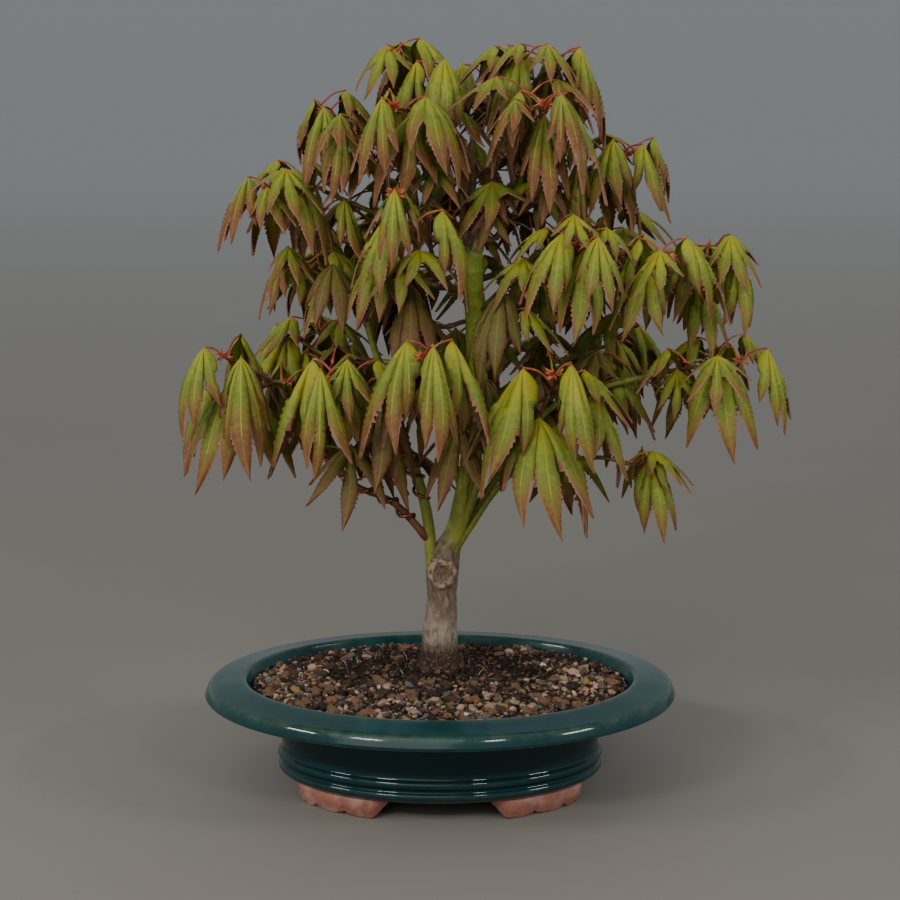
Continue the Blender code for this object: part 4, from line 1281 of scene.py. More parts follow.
@dataclass(frozen=True)
class Mass:
    """One foliage mass: the space it keeps to, and the shoots that fill it."""

    name: str
    limb: str
    heart: tuple
    reach: tuple
    shoots: int
    leaf: float
    turn: float
    seed: int
    side_room: float = 1.15
    height_room: float = 1.12

    def holds(self, corners: Iterable[Vector]) -> bool:
        """Tells whether corners keep within the room round the mass, sideways and in height.

        Args:
            corners: Their places.

        Returns:
            True if all do.
        """
        wide, deep, high = self.reach
        return all(
            hypot(way.x / wide, way.y / deep) <= self.side_room and abs(way.z / high) <= self.height_room
            for way in (corner - Vector(self.heart) for corner in corners)
        )


OTHER_LIMBS = {
    "mid_left": "left", "mid_front": "trunk", "centre_front": "trunk", "centre_left": "trunk",
    "upper_back": "trunk",
}
MASSES = tuple(
    Mass(
        "foliage_" + name, wood(OTHER_LIMBS.get(name, name)), metres(*heart), metres(*reach), shoots,
        leaf / 1000, turn, seed,
    )
    for name, heart, reach, shoots, leaf, turn, seed in (
        ("left_inner", (-48, -26, 194), (36, 36, 56), 2, 70, 225, 12),
        ("low_front", (2, -50, 210), (36, 36, 56), 2, 72, 235, 13),
        ("low_front_right", (58, -44, 196), (42, 36, 64), 3, 72, 275, 14),
        ("low_left", (-96, -5, 208), (42, 40, 48), 3, 64, 215, 11),
        ("drop", (106, -12, 160), (24, 30, 30), 1, 48, 90, 15),
        ("low_right", (140, -2, 210), (38, 42, 38), 2, 58, 350, 16),
        ("low_back_right", (84, 50, 206), (42, 38, 48), 2, 62, 40, 18),
        ("low_back", (10, 58, 204), (40, 36, 50), 2, 64, 95, 17),
        ("low_back_left", (-64, 50, 206), (40, 36, 48), 2, 62, 140, 19),
        ("right", (136, 2, 254), (29, 38, 50), 2, 62, 340, 20),
        ("mid_right", (108, -30, 264), (32, 32, 44), 2, 56, 300, 32),
        ("mid_right_front", (70, -40, 274), (34, 32, 40), 2, 54, 290, 21),
        ("mid_front", (40, -24, 250), (34, 32, 44), 2, 54, 300, 33),
        ("mid_back_right", (78, 52, 264), (44, 38, 46), 2, 58, 60, 22),
        ("mid_back_left", (-46, 52, 262), (38, 34, 46), 2, 58, 120, 23),
        ("mid_left", (-58, 0, 262), (30, 36, 34), 2, 46, 190, 24),
        ("centre_front", (-18, -40, 300), (32, 32, 38), 2, 54, 250, 26),
        ("centre_left", (-22, -16, 258), (28, 28, 40), 1, 52, 215, 34),
        ("left_outer", (-72, -8, 300), (33, 36, 36), 2, 54, 200, 25),
        ("upper_left", (-48, -4, 338), (26, 34, 34), 2, 54, 160, 35),
        ("upper_right", (86, 0, 318), (30, 34, 34), 2, 52, 15, 27),
        ("upper_back", (14, 46, 312), (50, 32, 44), 2, 56, 100, 28),
        ("top_front", (-14, -34, 343), (34, 32, 36), 2, 56, 240, 36),
        ("top_right_front", (44, -30, 340), (36, 32, 42), 2, 56, 300, 37),
        ("top_left", (-12, 0, 370), (33, 36, 32), 2, 54, 200, 29),
        ("top_right", (48, 0, 368), (34, 36, 32), 2, 54, 330, 30),
        ("top_back", (20, 42, 352), (40, 30, 36), 2, 52, 80, 31),
    )
)


@dataclass(frozen=True)
class Leaf:
    """A leaf as it hangs: its node on the shoot, its peak, and how its lobes slope.

    A leaf with some spread holds its outer lobes wider and flatter than its middle one.
    """

    node: Vector
    peak: Vector
    facing: float
    length: float
    lie: float
    hang: float
    spread: float = 0.0


@dataclass(frozen=True)
class Sprig:
    """A fine side twig with the leaves on it."""

    line: Line
    leaves: list[Leaf]


@dataclass
class Growth:
    """What a mass grows: shoots with leaf nodes as (place, turn, size), leaves on them, and side twigs."""

    mass: Mass
    shoots: list[Line] = field(default_factory=list)
    nodes: list[list[tuple]] = field(default_factory=list)
    leaves: list[Leaf] = field(default_factory=list)
    sprigs: list[Sprig] = field(default_factory=list)

    def all_leaves(self) -> list[Leaf]:
        """Every leaf, those of the shoots first."""
        return self.leaves + [leaf for sprig in self.sprigs for leaf in sprig.leaves]


def twig_shell(points: Sequence[Vector], radii: Sequence[float]) -> Shell:
    """Makes a three-sided twig with flat ends.

    Args:
        points: Two or more points of its middle line.
        radii: Its radius at each of them.

    Returns:
        Its corners and faces.
    """
    corners, side = [], Vector()
    for i, (place, radius) in enumerate(zip(points, radii)):
        ahead = (points[min(i + 1, len(points) - 1)] - points[max(i - 1, 0)]).normalized()
        side = ahead.cross(side.cross(ahead) if i else ahead.orthogonal()).normalized()
        over = ahead.cross(side)
        for turn in (k * tau / 3 for k in range(3)):
            corners.append(place + (side * cos(turn) + over * sin(turn)) * radius)
    last = len(corners) - 3
    return corners, [*ring_faces(len(points), 3), (2, 1, 0), (last, last + 1, last + 2)]


@dataclass(frozen=True)
class Blank:
    """The measures of a flat five-lobed leaf, as shares of its middle lobe's length, and of its stalk."""

    lobe_turns: tuple[float, ...] = (-84.0, -42.0, 0.0, 42.0, 84.0)
    lobe_lengths: tuple[float, ...] = (0.64, 0.88, 1.0, 0.88, 0.64)
    half_width: float = 0.125
    widest_at: float = 0.54
    notch_reach: float = 0.32
    sinus_reach: float = 0.17
    sinus_turn: float = 34.0
    half_thickness: float = 0.0065
    pleat_room: float = 0.80
    least_seen: float = 0.45
    most_fold: float = 0.35
    stalk_radius: float = 0.0007
    standoff: float = 0.0002

    @property
    def half_spread(self) -> float:
        """Half the turn between two lobes, in radians."""
        return radians(self.lobe_turns[1] - self.lobe_turns[0]) / 2

    def posture(self, leaf: Leaf, lobe: int) -> tuple[float, float, float]:
        """Tells how a lobe is held.

        Args:
            leaf: The leaf.
            lobe: The number of its lobe.

        Returns:
            The way the lobe points, its slope at the peak and its slope at its tip.
        """
        aside = radians(self.lobe_turns[lobe])
        give = leaf.spread * (1 - cos(aside))
        turn = leaf.facing + aside * (1 + 0.22 * leaf.spread)
        return turn, leaf.lie * (1 - 0.80 * give), leaf.hang * (1 - 0.30 * give)

    def draped(self, leaf: Leaf, lobe: int, along: float, across: float, pleated: bool = True) -> Vector:
        """Hangs one point of a flat lobe from the leaf's peak.

        Args:
            leaf: The leaf.
            lobe: The number of its lobe.
            along: How far the point lies along the lobe's rib, in metres.
            across: How far it lies across the rib, in metres.
            pleated: Whether the lobe is folded along its rib to the room between its neighbours.

        Returns:
            The point's place.
        """
        turn, lie, hang = self.posture(leaf, lobe)
        bend = (hang - lie) / (leaf.length * self.lobe_lengths[lobe])
        slope = lie + bend * along
        reach = (sin(slope) - sin(lie)) / bend
        drop = (cos(lie) - cos(slope)) / bend
        out = Vector((cos(turn), sin(turn), 0.0))
        side = Vector((-sin(turn), cos(turn), 0.0))
        above = out * sin(slope) + UP * cos(slope)
        seen, flat = across, abs(across)
        if pleated:
            room = max(reach, 0.0) * tan(self.half_spread) * self.pleat_room
            seen = copysign(min(flat, max(room, flat * self.least_seen)), across)
        fold = min(sqrt(max(across ** 2 - seen ** 2, 0.0)), flat * self.most_fold)
        return leaf.peak + out * reach - UP * drop + side * seen - above * fold

    def sheet(self, leaf: Leaf) -> tuple[list[Vector], list[Vector], list[tuple]]:
        """Hangs the leaf's plain middle surface.

        Args:
            leaf: The leaf.

        Returns:
            Its ridge points, the peak first, then its rim and its faces.
        """
        last = len(self.lobe_turns) - 1
        ridge, rim, faces = [leaf.peak], [], []
        for i in range(last + 2):
            between = 0 < i <= last
            spread = self.half_spread if between else radians(self.sinus_turn)
            reach = leaf.length * (self.notch_reach if between else self.sinus_reach)
            along, across = reach * cos(spread), reach * sin(spread)
            sides = [
                self.draped(leaf, lobe, along, aside, between)
                for lobe, aside in ((i - 1, across), (i, -across)) if 0 <= lobe <= last
            ]
            rim.append(sum(sides, Vector()) / len(sides))
            if i <= last:
                length = leaf.length * self.lobe_lengths[i]
                width = leaf.length * self.half_width * (0.6 + 0.4 * self.lobe_lengths[i])
                middle = self.widest_at * length
                ridge.append(self.draped(leaf, i, middle, 0.0))
                spots = (middle, -width), (length, 0.0), (middle, width)
                rim += [self.draped(leaf, i, *spot) for spot in spots]
                edge = [last + 2 + 4 * i + k for k in range(5)]
                faces += [(i + 1, a, b) for a, b in zip(edge, edge[1:])]
                faces += [(0, edge[0], i + 1), (0, i + 1, edge[-1])]
        return ridge, rim, faces

    def shell(self, leaf: Leaf, stalk: bool) -> Shell:
        """Makes the plain leaf as a thin closed blade, as its solid is, to tell what it would touch.

        Args:
            leaf: The leaf.
            stalk: Whether its stalk is there too.

        Returns:
            The shell's corners and faces.
        """
        ridge, rim, faces = self.sheet(leaf)
        count, sheet = len(ridge), ridge + rim
        normals = [Vector() for _ in sheet]
        for face in faces:
            a, b, c = (sheet[i] for i in face)
            normal = (b - a).cross(c - a).normalized()
            for i in face:
                normals[i] += normal
        half = leaf.length * self.half_thickness
        lifts = [(place, normal.normalized() * half) for place, normal in zip(ridge, normals)]
        corners = [place + lift for place, lift in lifts] + rim + [place - lift for place, lift in lifts]
        under = count + len(rim)
        faces = faces + [tuple(under + i if i < count else i for i in reversed(face)) for face in faces]
        ahead = (leaf.node - leaf.peak).normalized()
        side = ahead.cross(UP).normalized()
        above = side.cross(ahead)
        loops = [(0, under - 1, under, count)]
        ends = [(leaf.peak + ahead * leaf.length * 0.035, half * 1.2)]
        ends += [(leaf.node - ahead * self.standoff, self.stalk_radius)] if stalk else []
        for place, radius in ends:
            first = len(corners)
            for x, z in ((0.0, 1.0), (0.87, -0.5), (-0.87, -0.5)):
                corners.append(place + (side * x + above * z) * radius)
            loops.append((first, first + 1, first + 1, first + 2))
        for near, far in zip(loops, loops[1:]):
            for i, j in ((0, 1), (1, 2), (2, 3), (3, 0)):
                face = tuple(dict.fromkeys((near[j], near[i], far[i], far[j])))
                faces += [face] if len(face) > 2 else []
        return corners, [*faces, tuple(dict.fromkeys(loops[-1]))]


@dataclass
class Space:
    """What has been placed so far, to tell what a new piece would touch."""

    placed: list[tuple[str, Vector, float, BVHTree]] = field(default_factory=list)

    @staticmethod
    def ball(corners: Sequence[Vector]) -> tuple[Vector, float]:
        """The middle of a shell, and how far it reaches from there."""
        middle = sum(corners, Vector()) / len(corners)
        return middle, max((corner - middle).length for corner in corners)

    def add(self, owner: str, shell: Shell) -> None:
        """Adds a closed shell under its owner's name."""
        self.placed.append((owner, *self.ball(shell[0]), BVHTree.FromPolygons(*shell)))

    def taken_out(self, shell: Shell) -> tuple[str, Vector, float, BVHTree]:
        """Takes out the placed shell whose middle is this one's, and gives it."""
        middle, _ = self.ball(shell[0])
        return self.placed.pop(min(range(len(self.placed)), key=lambda i: (self.placed[i][1] - middle).length))

    def touches(self, shell: Shell, ignore: Iterable[str] = (), gap: float = 0.0) -> bool:
        """Tells whether a shell crosses, or comes too near, what is placed.

        Args:
            shell: The shell.
            ignore: The owners whose shells don't count.
            gap: The least gap to keep, or 0 to look for crossings alone.

        Returns:
            True if it does.
        """
        middle, size = self.ball(shell[0])
        tree = BVHTree.FromPolygons(*shell)
        for owner, other_middle, other_size, other in self.placed:
            if owner in ignore or (middle - other_middle).length > size + other_size + gap:
                continue
            if tree.overlap(other):
                return True
            if gap and any(other.find_nearest(corner, gap)[0] is not None for corner in shell[0]):
                return True
        return False


def crosses_itself(shell: Shell) -> bool:
    """True if two faces of the shell that share no corner touch."""
    tree, faces = BVHTree.FromPolygons(*shell), shell[1]
    return any(not set(faces[a]) & set(faces[b]) for a, b in tree.overlap(tree) if a < b)


@dataclass
class Rule:
    """The crown's seeded rule of growth: stems, shoots, opposite pairs of leaves, then side twigs."""

    lines: dict[str, Line]
    blank: Blank = field(default_factory=Blank)
    space: Space = field(default_factory=Space)
    gap: float = 0.0004
    top_share: float = 0.60
    shoot_drop: float = 0.30
    shoot_spread: float = 0.42
    fork_share: float = 0.38
    stem_rise: float = 0.022
    stem_top: float = 0.282
    nodes_a_shoot: tuple = ((0.60, 1.0), (0.96, 0.88))
    stem_radius: float = 0.0013
    shoot_radius: float = 0.0011
    stalk_length: float = 0.0145
    stalk_rise: float = 0.55
    lie: tuple[float, float] = (30.0, 46.0)
    hang: tuple[float, float] = (84.0, 96.0)
    usual_length: float = 0.052
    lie_with_length: float = 500.0
    tries: tuple = (
        (0.0, 1.0, 0.0), (24.0, 1.0, 6.0), (-24.0, 1.0, 6.0),
        (0.0, 0.86, 16.0), (45.0, 0.90, 12.0), (-45.0, 0.90, 12.0),
    )
    most_open: tuple[float, float] = (18.0, 32.0)
    ways_to_open: tuple = (
        (1.0, 1.12, 0.9), (1.0, 1.0, 0.8), (0.8, 1.06, 0.7), (0.7, 1.0, 0.7), (0.5, 1.0, 0.4),
        (0.35, 1.0, 0.2), (0.15, 1.0, 0.1), (0.0, 0.92, 0.0),
    )
    sprigs_a_mass: int = 42
    sprig_radius: float = 0.00055
    sprig_rise: tuple[float, float] = (-0.45, 0.65)
    sprig_reach: tuple[float, float] = (0.008, 0.026)
    sprig_leaf: tuple[float, float] = (0.54, 0.86)
    limb_sprigs: float = 0.30
    sides: tuple[float, float] = (-0.139, 0.182)
    gap_panes: tuple[float, ...] = (0.0125, 0.0165, 0.0205)
    gap_depths: tuple[float, float] = (-0.060, -0.006)
    gap_heights: tuple[float, float] = (0.238, 0.284)

    def grow(self) -> dict[str, Growth]:
        """Grows every mass: all shoots, then the leaves on them, then the side twigs.

        Returns:
            What each mass has grown, by the mass's name.
        """
        for name, (points, radii) in self.lines.items():
            for i in range(len(points) - 1):
                self.space.add(name, twig_shell(points[i:i + 2], (radii[i] * 1.7, radii[i + 1] * 1.7)))
        grown = [Growth(mass) for mass in MASSES]
        for step in (self.grow_shoots, self.grow_leaves, self.open_leaves):
            for growth in grown:
                step(growth)
        self.keep_gap()
        for growth in grown:
            self.grow_sprigs(growth)
        return {growth.mass.name: growth for growth in grown}

    def keep_gap(self) -> None:
        """Takes the space in front of the trunk's top, so that no side twig hides it."""
        (front, back), (low, high) = self.gap_depths, self.gap_heights
        for x in self.gap_panes:
            pane = [Vector((x, y, z)) for y, z in ((front, low), (back, low), (back, high), (front, high))]
            self.space.add("gap", (pane, [(0, 1, 2), (0, 2, 3)]))

    def grow_shoots(self, growth: Growth) -> None:
        """Grows a mass's stem, square to its limb's tip or to the trunk, and those shoots that touch nothing.

        Args:
            growth: What the mass grows.
        """
        mass = growth.mass
        chance = random.Random(mass.seed)
        top = Vector(mass.heart) + UP * mass.reach[2] * self.top_share
        points, radii = self.lines[mass.limb]
        if mass.limb == "trunk":
            height = min(top.z - self.stem_rise, self.stem_top)
            place = min(range(len(points)), key=lambda i: abs(points[i].z - height))
            ahead = ((top - points[place]) * LEVEL).normalized()
            start = points[place] + ahead * (radii[place] + 3 * CLEARANCE)
        else:
            ahead = (points[-1] - points[-2]).normalized()
            start = points[-1] + ahead * CLEARANCE
        fork = start + ahead * max((top - start).length * self.fork_share, 0.004)
        for i in range(mass.shoots):
            turn = radians(mass.turn) + i * GOLDEN_TURN + chance.uniform(-0.2, 0.2)
            spread = self.shoot_spread if mass.shoots > 1 else 0.0
            tip = Vector(mass.heart) + Vector((
                mass.reach[0] * spread * cos(turn), mass.reach[1] * spread * sin(turn),
                mass.reach[2] * (self.top_share - self.shoot_drop * i),
            ))
            twig = (fork, tip), (self.shoot_radius, self.shoot_radius)
            if i == 0:
                twig = (start, fork, tip), (self.stem_radius, self.stem_radius, self.shoot_radius)
            elif self.space.touches(twig_shell(*twig), {mass.limb}, self.gap):
                continue
            growth.shoots.append(twig)
            growth.nodes.append([
                (fork.lerp(tip, share), turn + radians(90) * (pair + 1), size)
                for pair, (share, size) in enumerate(self.nodes_a_shoot)
            ])
        for twig in growth.shoots:
            self.space.add(mass.name, twig_shell(*twig))

    def ways_to_hang(
        self, mass: Mass, node: Vector, turn: float, size: float, chance: random.Random
    ) -> Iterator[Leaf]:
        """Hangs a leaf from a node in one way after another, the preferred one first.

        Args:
            mass: The mass that the leaf is in.
            node: Its place on the shoot.
            turn: The way it faces, in radians.
            size: Its length as a share of the mass's usual leaf.
            chance: Where its random numbers come from.

        Yields:
            One leaf for each way.
        """
        facing = turn + chance.uniform(-0.25, 0.25)
        length = mass.leaf * size * chance.uniform(0.9, 1.08)
        stalk = self.stalk_length * chance.uniform(0.75, 1.25)
        lie = chance.uniform(*self.lie) + self.lie_with_length * (mass.leaf - self.usual_length)
        hang = chance.uniform(*self.hang)
        for swing, scale, steeper in self.tries:
            turned = facing + radians(swing)
            peak = node + Vector((cos(turned), sin(turned), self.stalk_rise)) * stalk * scale
            yield Leaf(node, peak, turned, length * scale, radians(lie + steeper), radians(hang))

    def blade_and_stalk(self, leaf: Leaf) -> tuple[Shell, Shell]:
        """The leaf's blade, and the outer part of its stalk, clear of the shoot that it grows from."""
        radii = (self.blank.stalk_radius, self.blank.stalk_radius)
        return self.blank.shell(leaf, False), twig_shell((leaf.node.lerp(leaf.peak, 0.35), leaf.peak), radii)

    def grow_leaves(self, growth: Growth) -> None:
        """Grows an opposite pair of leaves at each node of a mass, where they find room.

        Args:
            growth: What the mass grows.
        """
        mass, space = growth.mass, self.space
        chance = random.Random(mass.seed * 7 + 1)
        for node, turn, size in (node for nodes in growth.nodes for node in reversed(nodes)):
            for opposite in (0.0, pi):
                for leaf in self.ways_to_hang(mass, node, turn + opposite, size, chance):
                    blade, stalk = self.blade_and_stalk(leaf)
                    if not mass.holds(blade[0]) or space.touches(blade, gap=self.gap):
                        continue
                    whole = self.blank.shell(leaf, True)
                    if space.touches(stalk, {mass.name}, self.gap) or crosses_itself(whole):
                        continue
                    space.add(mass.name + "_leaf", blade)
                    space.add(mass.name + "_leaf", stalk)
                    growth.leaves.append(leaf)
                    break

    def opened(self, leaf: Leaf, share: float, scale: float, spread: float) -> Leaf:
        """The leaf with its lobes lifted by this share of the most, its length scaled, and spread."""
        lie, hang = (radians(turn) * share for turn in self.most_open)
        return replace(leaf, lie=leaf.lie - lie, hang=leaf.hang - hang, length=leaf.length * scale, spread=spread)

    def open_leaves(self, growth: Growth) -> None:
        """Opens every leaf on a mass's shoots as far as it can without crossing what is round it.

        Args:
            growth: What the mass has grown.
        """
        for i, leaf in enumerate(growth.leaves):
            own = self.space.taken_out(self.blank.shell(leaf, False))
            for way in self.ways_to_open:
                wider = self.opened(leaf, *way)
                blade = self.blank.shell(wider, False)
                if not self.space.touches(blade):
                    growth.leaves[i] = wider
                    self.space.add(own[0], blade)
                    break
            else:
                self.space.placed.append(own)

    def grow_sprigs(self, growth: Growth) -> None:
        """Grows side twigs off a mass's shoots, with smaller leaves where these cross nothing.

        Args:
            growth: What the mass has grown.
        """
        mass, space, radius = growth.mass, self.space, self.sprig_radius
        chance = random.Random(mass.seed * 31 + 7)
        draw = chance.uniform
        limb = self.lines[mass.limb][0]
        bottom, top, crest = (mass.heart[2] + mass.reach[2] * share for share in (-mass.height_room, 0.80, 1.0))
        for _ in range(self.sprigs_a_mass):
            points, _ = chance.choice(growth.shoots)
            root = points[-2].lerp(points[-1], draw(0.10, 0.95))
            inner = mass.limb != "trunk" and draw(0.0, 1.0) < self.limb_sprigs
            if inner:
                root = limb[chance.randrange(len(limb) // 2, len(limb) - 1)]
            turn, rise = draw(0, tau), draw(*self.sprig_rise)
            reach, size = draw(*self.sprig_reach), draw(*self.sprig_leaf)
            end = root + Vector((cos(turn), sin(turn), rise)).normalized() * reach
            beyond = twig_shell((root.lerp(end, 0.25), end), (radius, radius))
            ignored = {mass.name, mass.limb} if inner else {mass.name}
            if not (inner or mass.holds([end])) or space.touches(beyond, ignored):
                continue
            leaves = []
            for aside in (0.0, 90.0, -90.0):
                for closed in self.ways_to_hang(mass, end, turn + radians(aside), size, chance):
                    leaf = self.opened(closed, 0.8, 1.0, draw(0.2, 0.8))
                    blade, stalk = self.blade_and_stalk(leaf)
                    low = min(corner.z for corner in blade[0]) < bottom
                    wide = not all(self.sides[0] < corner.x < self.sides[1] for corner in blade[0])
                    if low or wide or leaf.peak.z > (top if inner else crest):
                        continue
                    if not (inner or mass.holds(blade[0])) or space.touches(blade):
                        continue
                    if not space.touches(stalk, {mass.name}):
                        space.add(mass.name + "_leaf", blade)
                        leaves.append(leaf)
                        break
            if leaves:
                space.add(mass.name, beyond)
                bow = root.lerp(end, 0.5) + UP * reach * 0.10
                growth.sprigs.append(Sprig(((root, bow, end), (radius * 1.2, radius, radius * 0.8)), leaves))


# Leaves in detail


class Net:
    """A flat leaf as a fine net: toothed lobes with a raised rib, its side veins pressed into it.

    Every corner is kept as its lobe and its place along and across that lobe, in shares of the
    leaf's length. A corner on the seam of two lobes is kept from both sides.
    """

    widest = 0.101
    widest_at = 0.42
    seam_rows = 6
    row_step = 0.0262

    def __init__(self, blank: Blank, notch_reach: float, seed: int) -> None:
        """Draws the net of one kind of leaf.

        Args:
            blank: The leaf's flat measures.
            notch_reach: How far its notches are from the peak.
            seed: What its teeth are drawn from.
        """
        self.blank = blank
        self.chance = random.Random(seed)
        self.notch = notch_reach * cos(blank.half_spread)
        self.corners: list[tuple] = []
        self.faces: list[tuple] = []
        self.face_facts: list[tuple] = []
        self.draw()
        lobe, self.along, self.across, twin, self.twin_across, *facts = np.array(self.corners).T
        self.lobe, self.twin = lobe.astype(int), twin.astype(int)
        _, self.edge, self.vein, self.loose = facts
        order = sorted(range(len(self.faces)), key=lambda i: -len(self.faces[i]))
        self.faces = [self.faces[i] for i in order]
        self.facts = np.array(self.face_facts)[order].T

    def corner(self, lobe: int, along: float, across: float, *facts: float, twin: int | None = None) -> int:
        """Keeps one corner of the net.

        Args:
            lobe: The lobe that it lies in.
            along: Its place along the rib.
            across: Its place across the rib.
            *facts: How near the margin it is, how a side vein lifts it, and how loose it is.
            twin: The lobe on the other side of a seam.

        Returns:
            The corner's number.
        """
        other = (lobe, across) if twin is None else (twin, -across)
        rank = along / self.blank.lobe_lengths[lobe]
        self.corners.append((lobe, along, across, *other, rank, *(facts or (0.0, 0.0, 0.0))))
        return len(self.corners) - 1

    def half_width(self, lobe: int, along: float, outer: bool) -> float:
        """Measures half a lobe's width.

        Args:
            lobe: The lobe.
            along: The place on its rib.
            outer: Whether the side is an outer one, and not one towards a neighbour.

        Returns:
            The half-width.
        """
        blank, length = self.blank, self.blank.lobe_lengths[lobe]
        widest, at = self.widest * (0.6 + 0.4 * length), self.widest_at * length
        spread = radians(blank.sinus_turn) if outer else blank.half_spread
        base = blank.sinus_reach * cos(spread) if outer else self.notch
        start = blank.sinus_reach * sin(spread) if outer else self.notch * tan(spread)
        if along < base:
            return start * sin(pi / 2 * along / base) ** 0.8 if outer else along * tan(spread)
        if along < at:
            return start + (widest - start) * ramp(along, base, at)
        share = (along - at) / (length - at)
        return widest * max(1 - share, 0.0) ** 1.1 * (1 + 0.8 * share)

    def row(
        self, lobe: int, along: float, widths: tuple[float, float], tooth: float, vein: float, slant: float
    ) -> list[int]:
        """Keeps one row of corners across a lobe, from its left margin to its right.

        Args:
            lobe: The lobe.
            along: The row's place on the rib.
            widths: The half-widths on the left and on the right.
            tooth: How far a tooth stands out, as a share of the leaf's length.
            vein: How far a side vein lifts the row.
            slant: How much of the side veins' forward slant the row has.

        Returns:
            The corners' numbers.
        """
        length = self.blank.lobe_lengths[lobe]
        found = []
        for side, width in zip((-1, 1), widths):
            rib = min(0.0065 * (1 - 0.6 * along / length), width * 0.4) / max(width, 1e-6)
            numbers = []
            parts = (1.0, tooth, 0.35), (0.87, 0.55 * tooth, 0.6), (0.56, 0.0, 1.0), (rib, 0.0, 0.0)
            for share, out, lift in parts:
                reach = min(along + (0.42 * share * width * slant + out * 1.1), length * 0.99)
                loose = min(width / 0.05, 1.0) * (0.8 if share == 1.0 else 0.2)
                wide = share * width + out
                edge = wide / max(width, 1e-6)
                numbers.append(self.corner(lobe, reach, side * wide, edge, vein * lift, loose))
            found += numbers if side < 0 else numbers[::-1]
        return found

    def join(self, near: list[int], far: list[int], free: tuple[bool, bool]) -> None:
        """Fills the strip between two rows with faces.

        Args:
            near: The corners of the row nearer to the peak.
            far: The corners of the next row.
            free: Whether the strip's left and right ends are free margins.
        """
        last = max(len(near), len(far)) - 2
        for k in range(last + 1):
            if len(near) == 1:
                face = near[0], far[k], far[k + 1]
            elif len(far) == 1:
                face = near[k], far[0], near[k + 1]
            else:
                face = near[k], far[k], far[k + 1], near[k + 1]
            rank, edge, vein = (sum(self.corners[i][fact] for i in face) / len(face) for fact in (5, 6, 7))
            margin = (k == 0 and free[0]) or (k == last and free[1])
            self.faces.append(face)
            self.face_facts.append((rank, edge, k == (last + 1) // 2, vein, margin))

    def draw(self) -> None:
        """Draws every lobe from the peak to its tip."""
        last = len(self.blank.lobe_turns) - 1
        peak = self.corner(last // 2, 0.0, 0.0)
        seam: list[int] = []
        for lobe, length in enumerate(self.blank.lobe_lengths):
            outer = lobe == 0, lobe == last
            rows, right_seam = [[peak]], []
            for j in range(1, self.seam_rows + 1):
                along = self.notch * j / self.seam_rows
                widths = tuple(self.half_width(lobe, along, side) for side in outer)
                lift = (0.5 if j % 2 else -0.5) * j / self.seam_rows
                middle = self.row(lobe, along, widths, 0.0, lift, 0.25 * j / self.seam_rows)
                left = middle[0] if lobe == 0 else seam[j - 1]
                right = middle[-1]
                if lobe < last:
                    wide = self.half_width(lobe, along, False)
                    right = self.corner(lobe, along, wide, 1.0, 0.0, 0.0, twin=lobe + 1)
                    right_seam.append(right)
                rows.append([left, *middle[1:-1], right])
            steps = max(6, round((length - self.notch) / self.row_step))
            for k in range(1, steps):
                along = self.notch + (length - self.notch) * (k / steps) ** 0.96
                widths = tuple(self.half_width(lobe, along, side) for side in outer)
                fade = ramp(k, 0.5, 4.0) * ramp(length - along, 0.14, 0.40)
                size = min(0.0150 if k % 4 == 0 else 0.0105, 0.30 * min(widths))
                tooth = (size if k % 2 == 0 else -0.45 * size) * fade * self.chance.uniform(0.7, 1.3)
                slant = ramp(k, 0.0, 4.0) * ramp(length - along, 0.0, 0.15)
                rows.append(self.row(lobe, along, widths, tooth, fade if k % 2 == 0 else -fade, slant))
            rows.append([self.corner(lobe, length, 0.0)])
            for i, (near, far) in enumerate(zip(rows, rows[1:])):
                self.join(near, far, tuple(side or i >= self.seam_rows for side in outer))
            seam = right_seam

    def hung(self, leaf: Leaf, chance: np.random.Generator) -> np.ndarray:
        """Hangs the net as one leaf.

        Args:
            leaf: The leaf.
            chance: Where its own unevenness comes from.

        Returns:
            The places of the net's corners.
        """
        size, blank = leaf.length, self.blank
        lengths = np.array(blank.lobe_lengths)
        bow = chance.uniform(-0.10, 0.10, len(lengths))
        curl = chance.uniform(-0.06, 0.22, len(lengths))
        held = np.array([blank.posture(leaf, lobe) for lobe in range(len(lengths))]).T
        held += np.radians(chance.normal(0, 1.0, held.shape) * np.array([[3.0], [4.0], [7.0]]))
        jitter = chance.normal(0, 0.0022, (2, len(self.along))) * self.loose
        places = []
        for lobe, across in ((self.lobe, self.across), (self.twin, self.twin_across)):
            turn, lie, hang = held[:, lobe]
            along = (self.along + jitter[0]) * size
            wide = (across + jitter[1] * np.sign(across)) * size
            length = size * lengths[lobe]
            bend = (hang - lie) / length
            rank = np.clip(along / length, 0.0, 1.2)
            slope = lie + bend * along
            late = np.clip((rank - 0.45) / 0.55, 0.0, 1.0) ** 2
            reach = (np.sin(slope) - np.sin(lie)) / bend + curl[lobe] * late * size * 0.22
            drop = (np.cos(lie) - np.cos(slope)) / bend
            out = np.stack([np.cos(turn), np.sin(turn), np.zeros_like(turn)], -1)
            side = np.stack([-np.sin(turn), np.cos(turn), np.zeros_like(turn)], -1)
            above = out * np.sin(slope)[:, None] + np.array(UP) * np.cos(slope)[:, None]
            room = np.maximum(reach, 0.0) * tan(blank.half_spread) * blank.pleat_room
            flat = np.abs(wide)
            seen = np.minimum(flat, np.maximum(room, flat * blank.least_seen))
            outermost = ((self.lobe == 0) & (across < 0)) | ((self.lobe == 4) & (across > 0))
            seen = np.where(outermost & (rank < 0.45), flat, seen)
            fold = np.minimum(np.sqrt(np.maximum(flat ** 2 - seen ** 2, 0.0)), flat * blank.most_fold)
            crown = size * 0.012 * np.sin(np.clip(self.edge, 0, 1) * pi) * ramp(rank, 0.0, 0.2)
            lift = size * 0.0085 * self.vein + crown - fold - size * 0.02 * self.edge ** 2
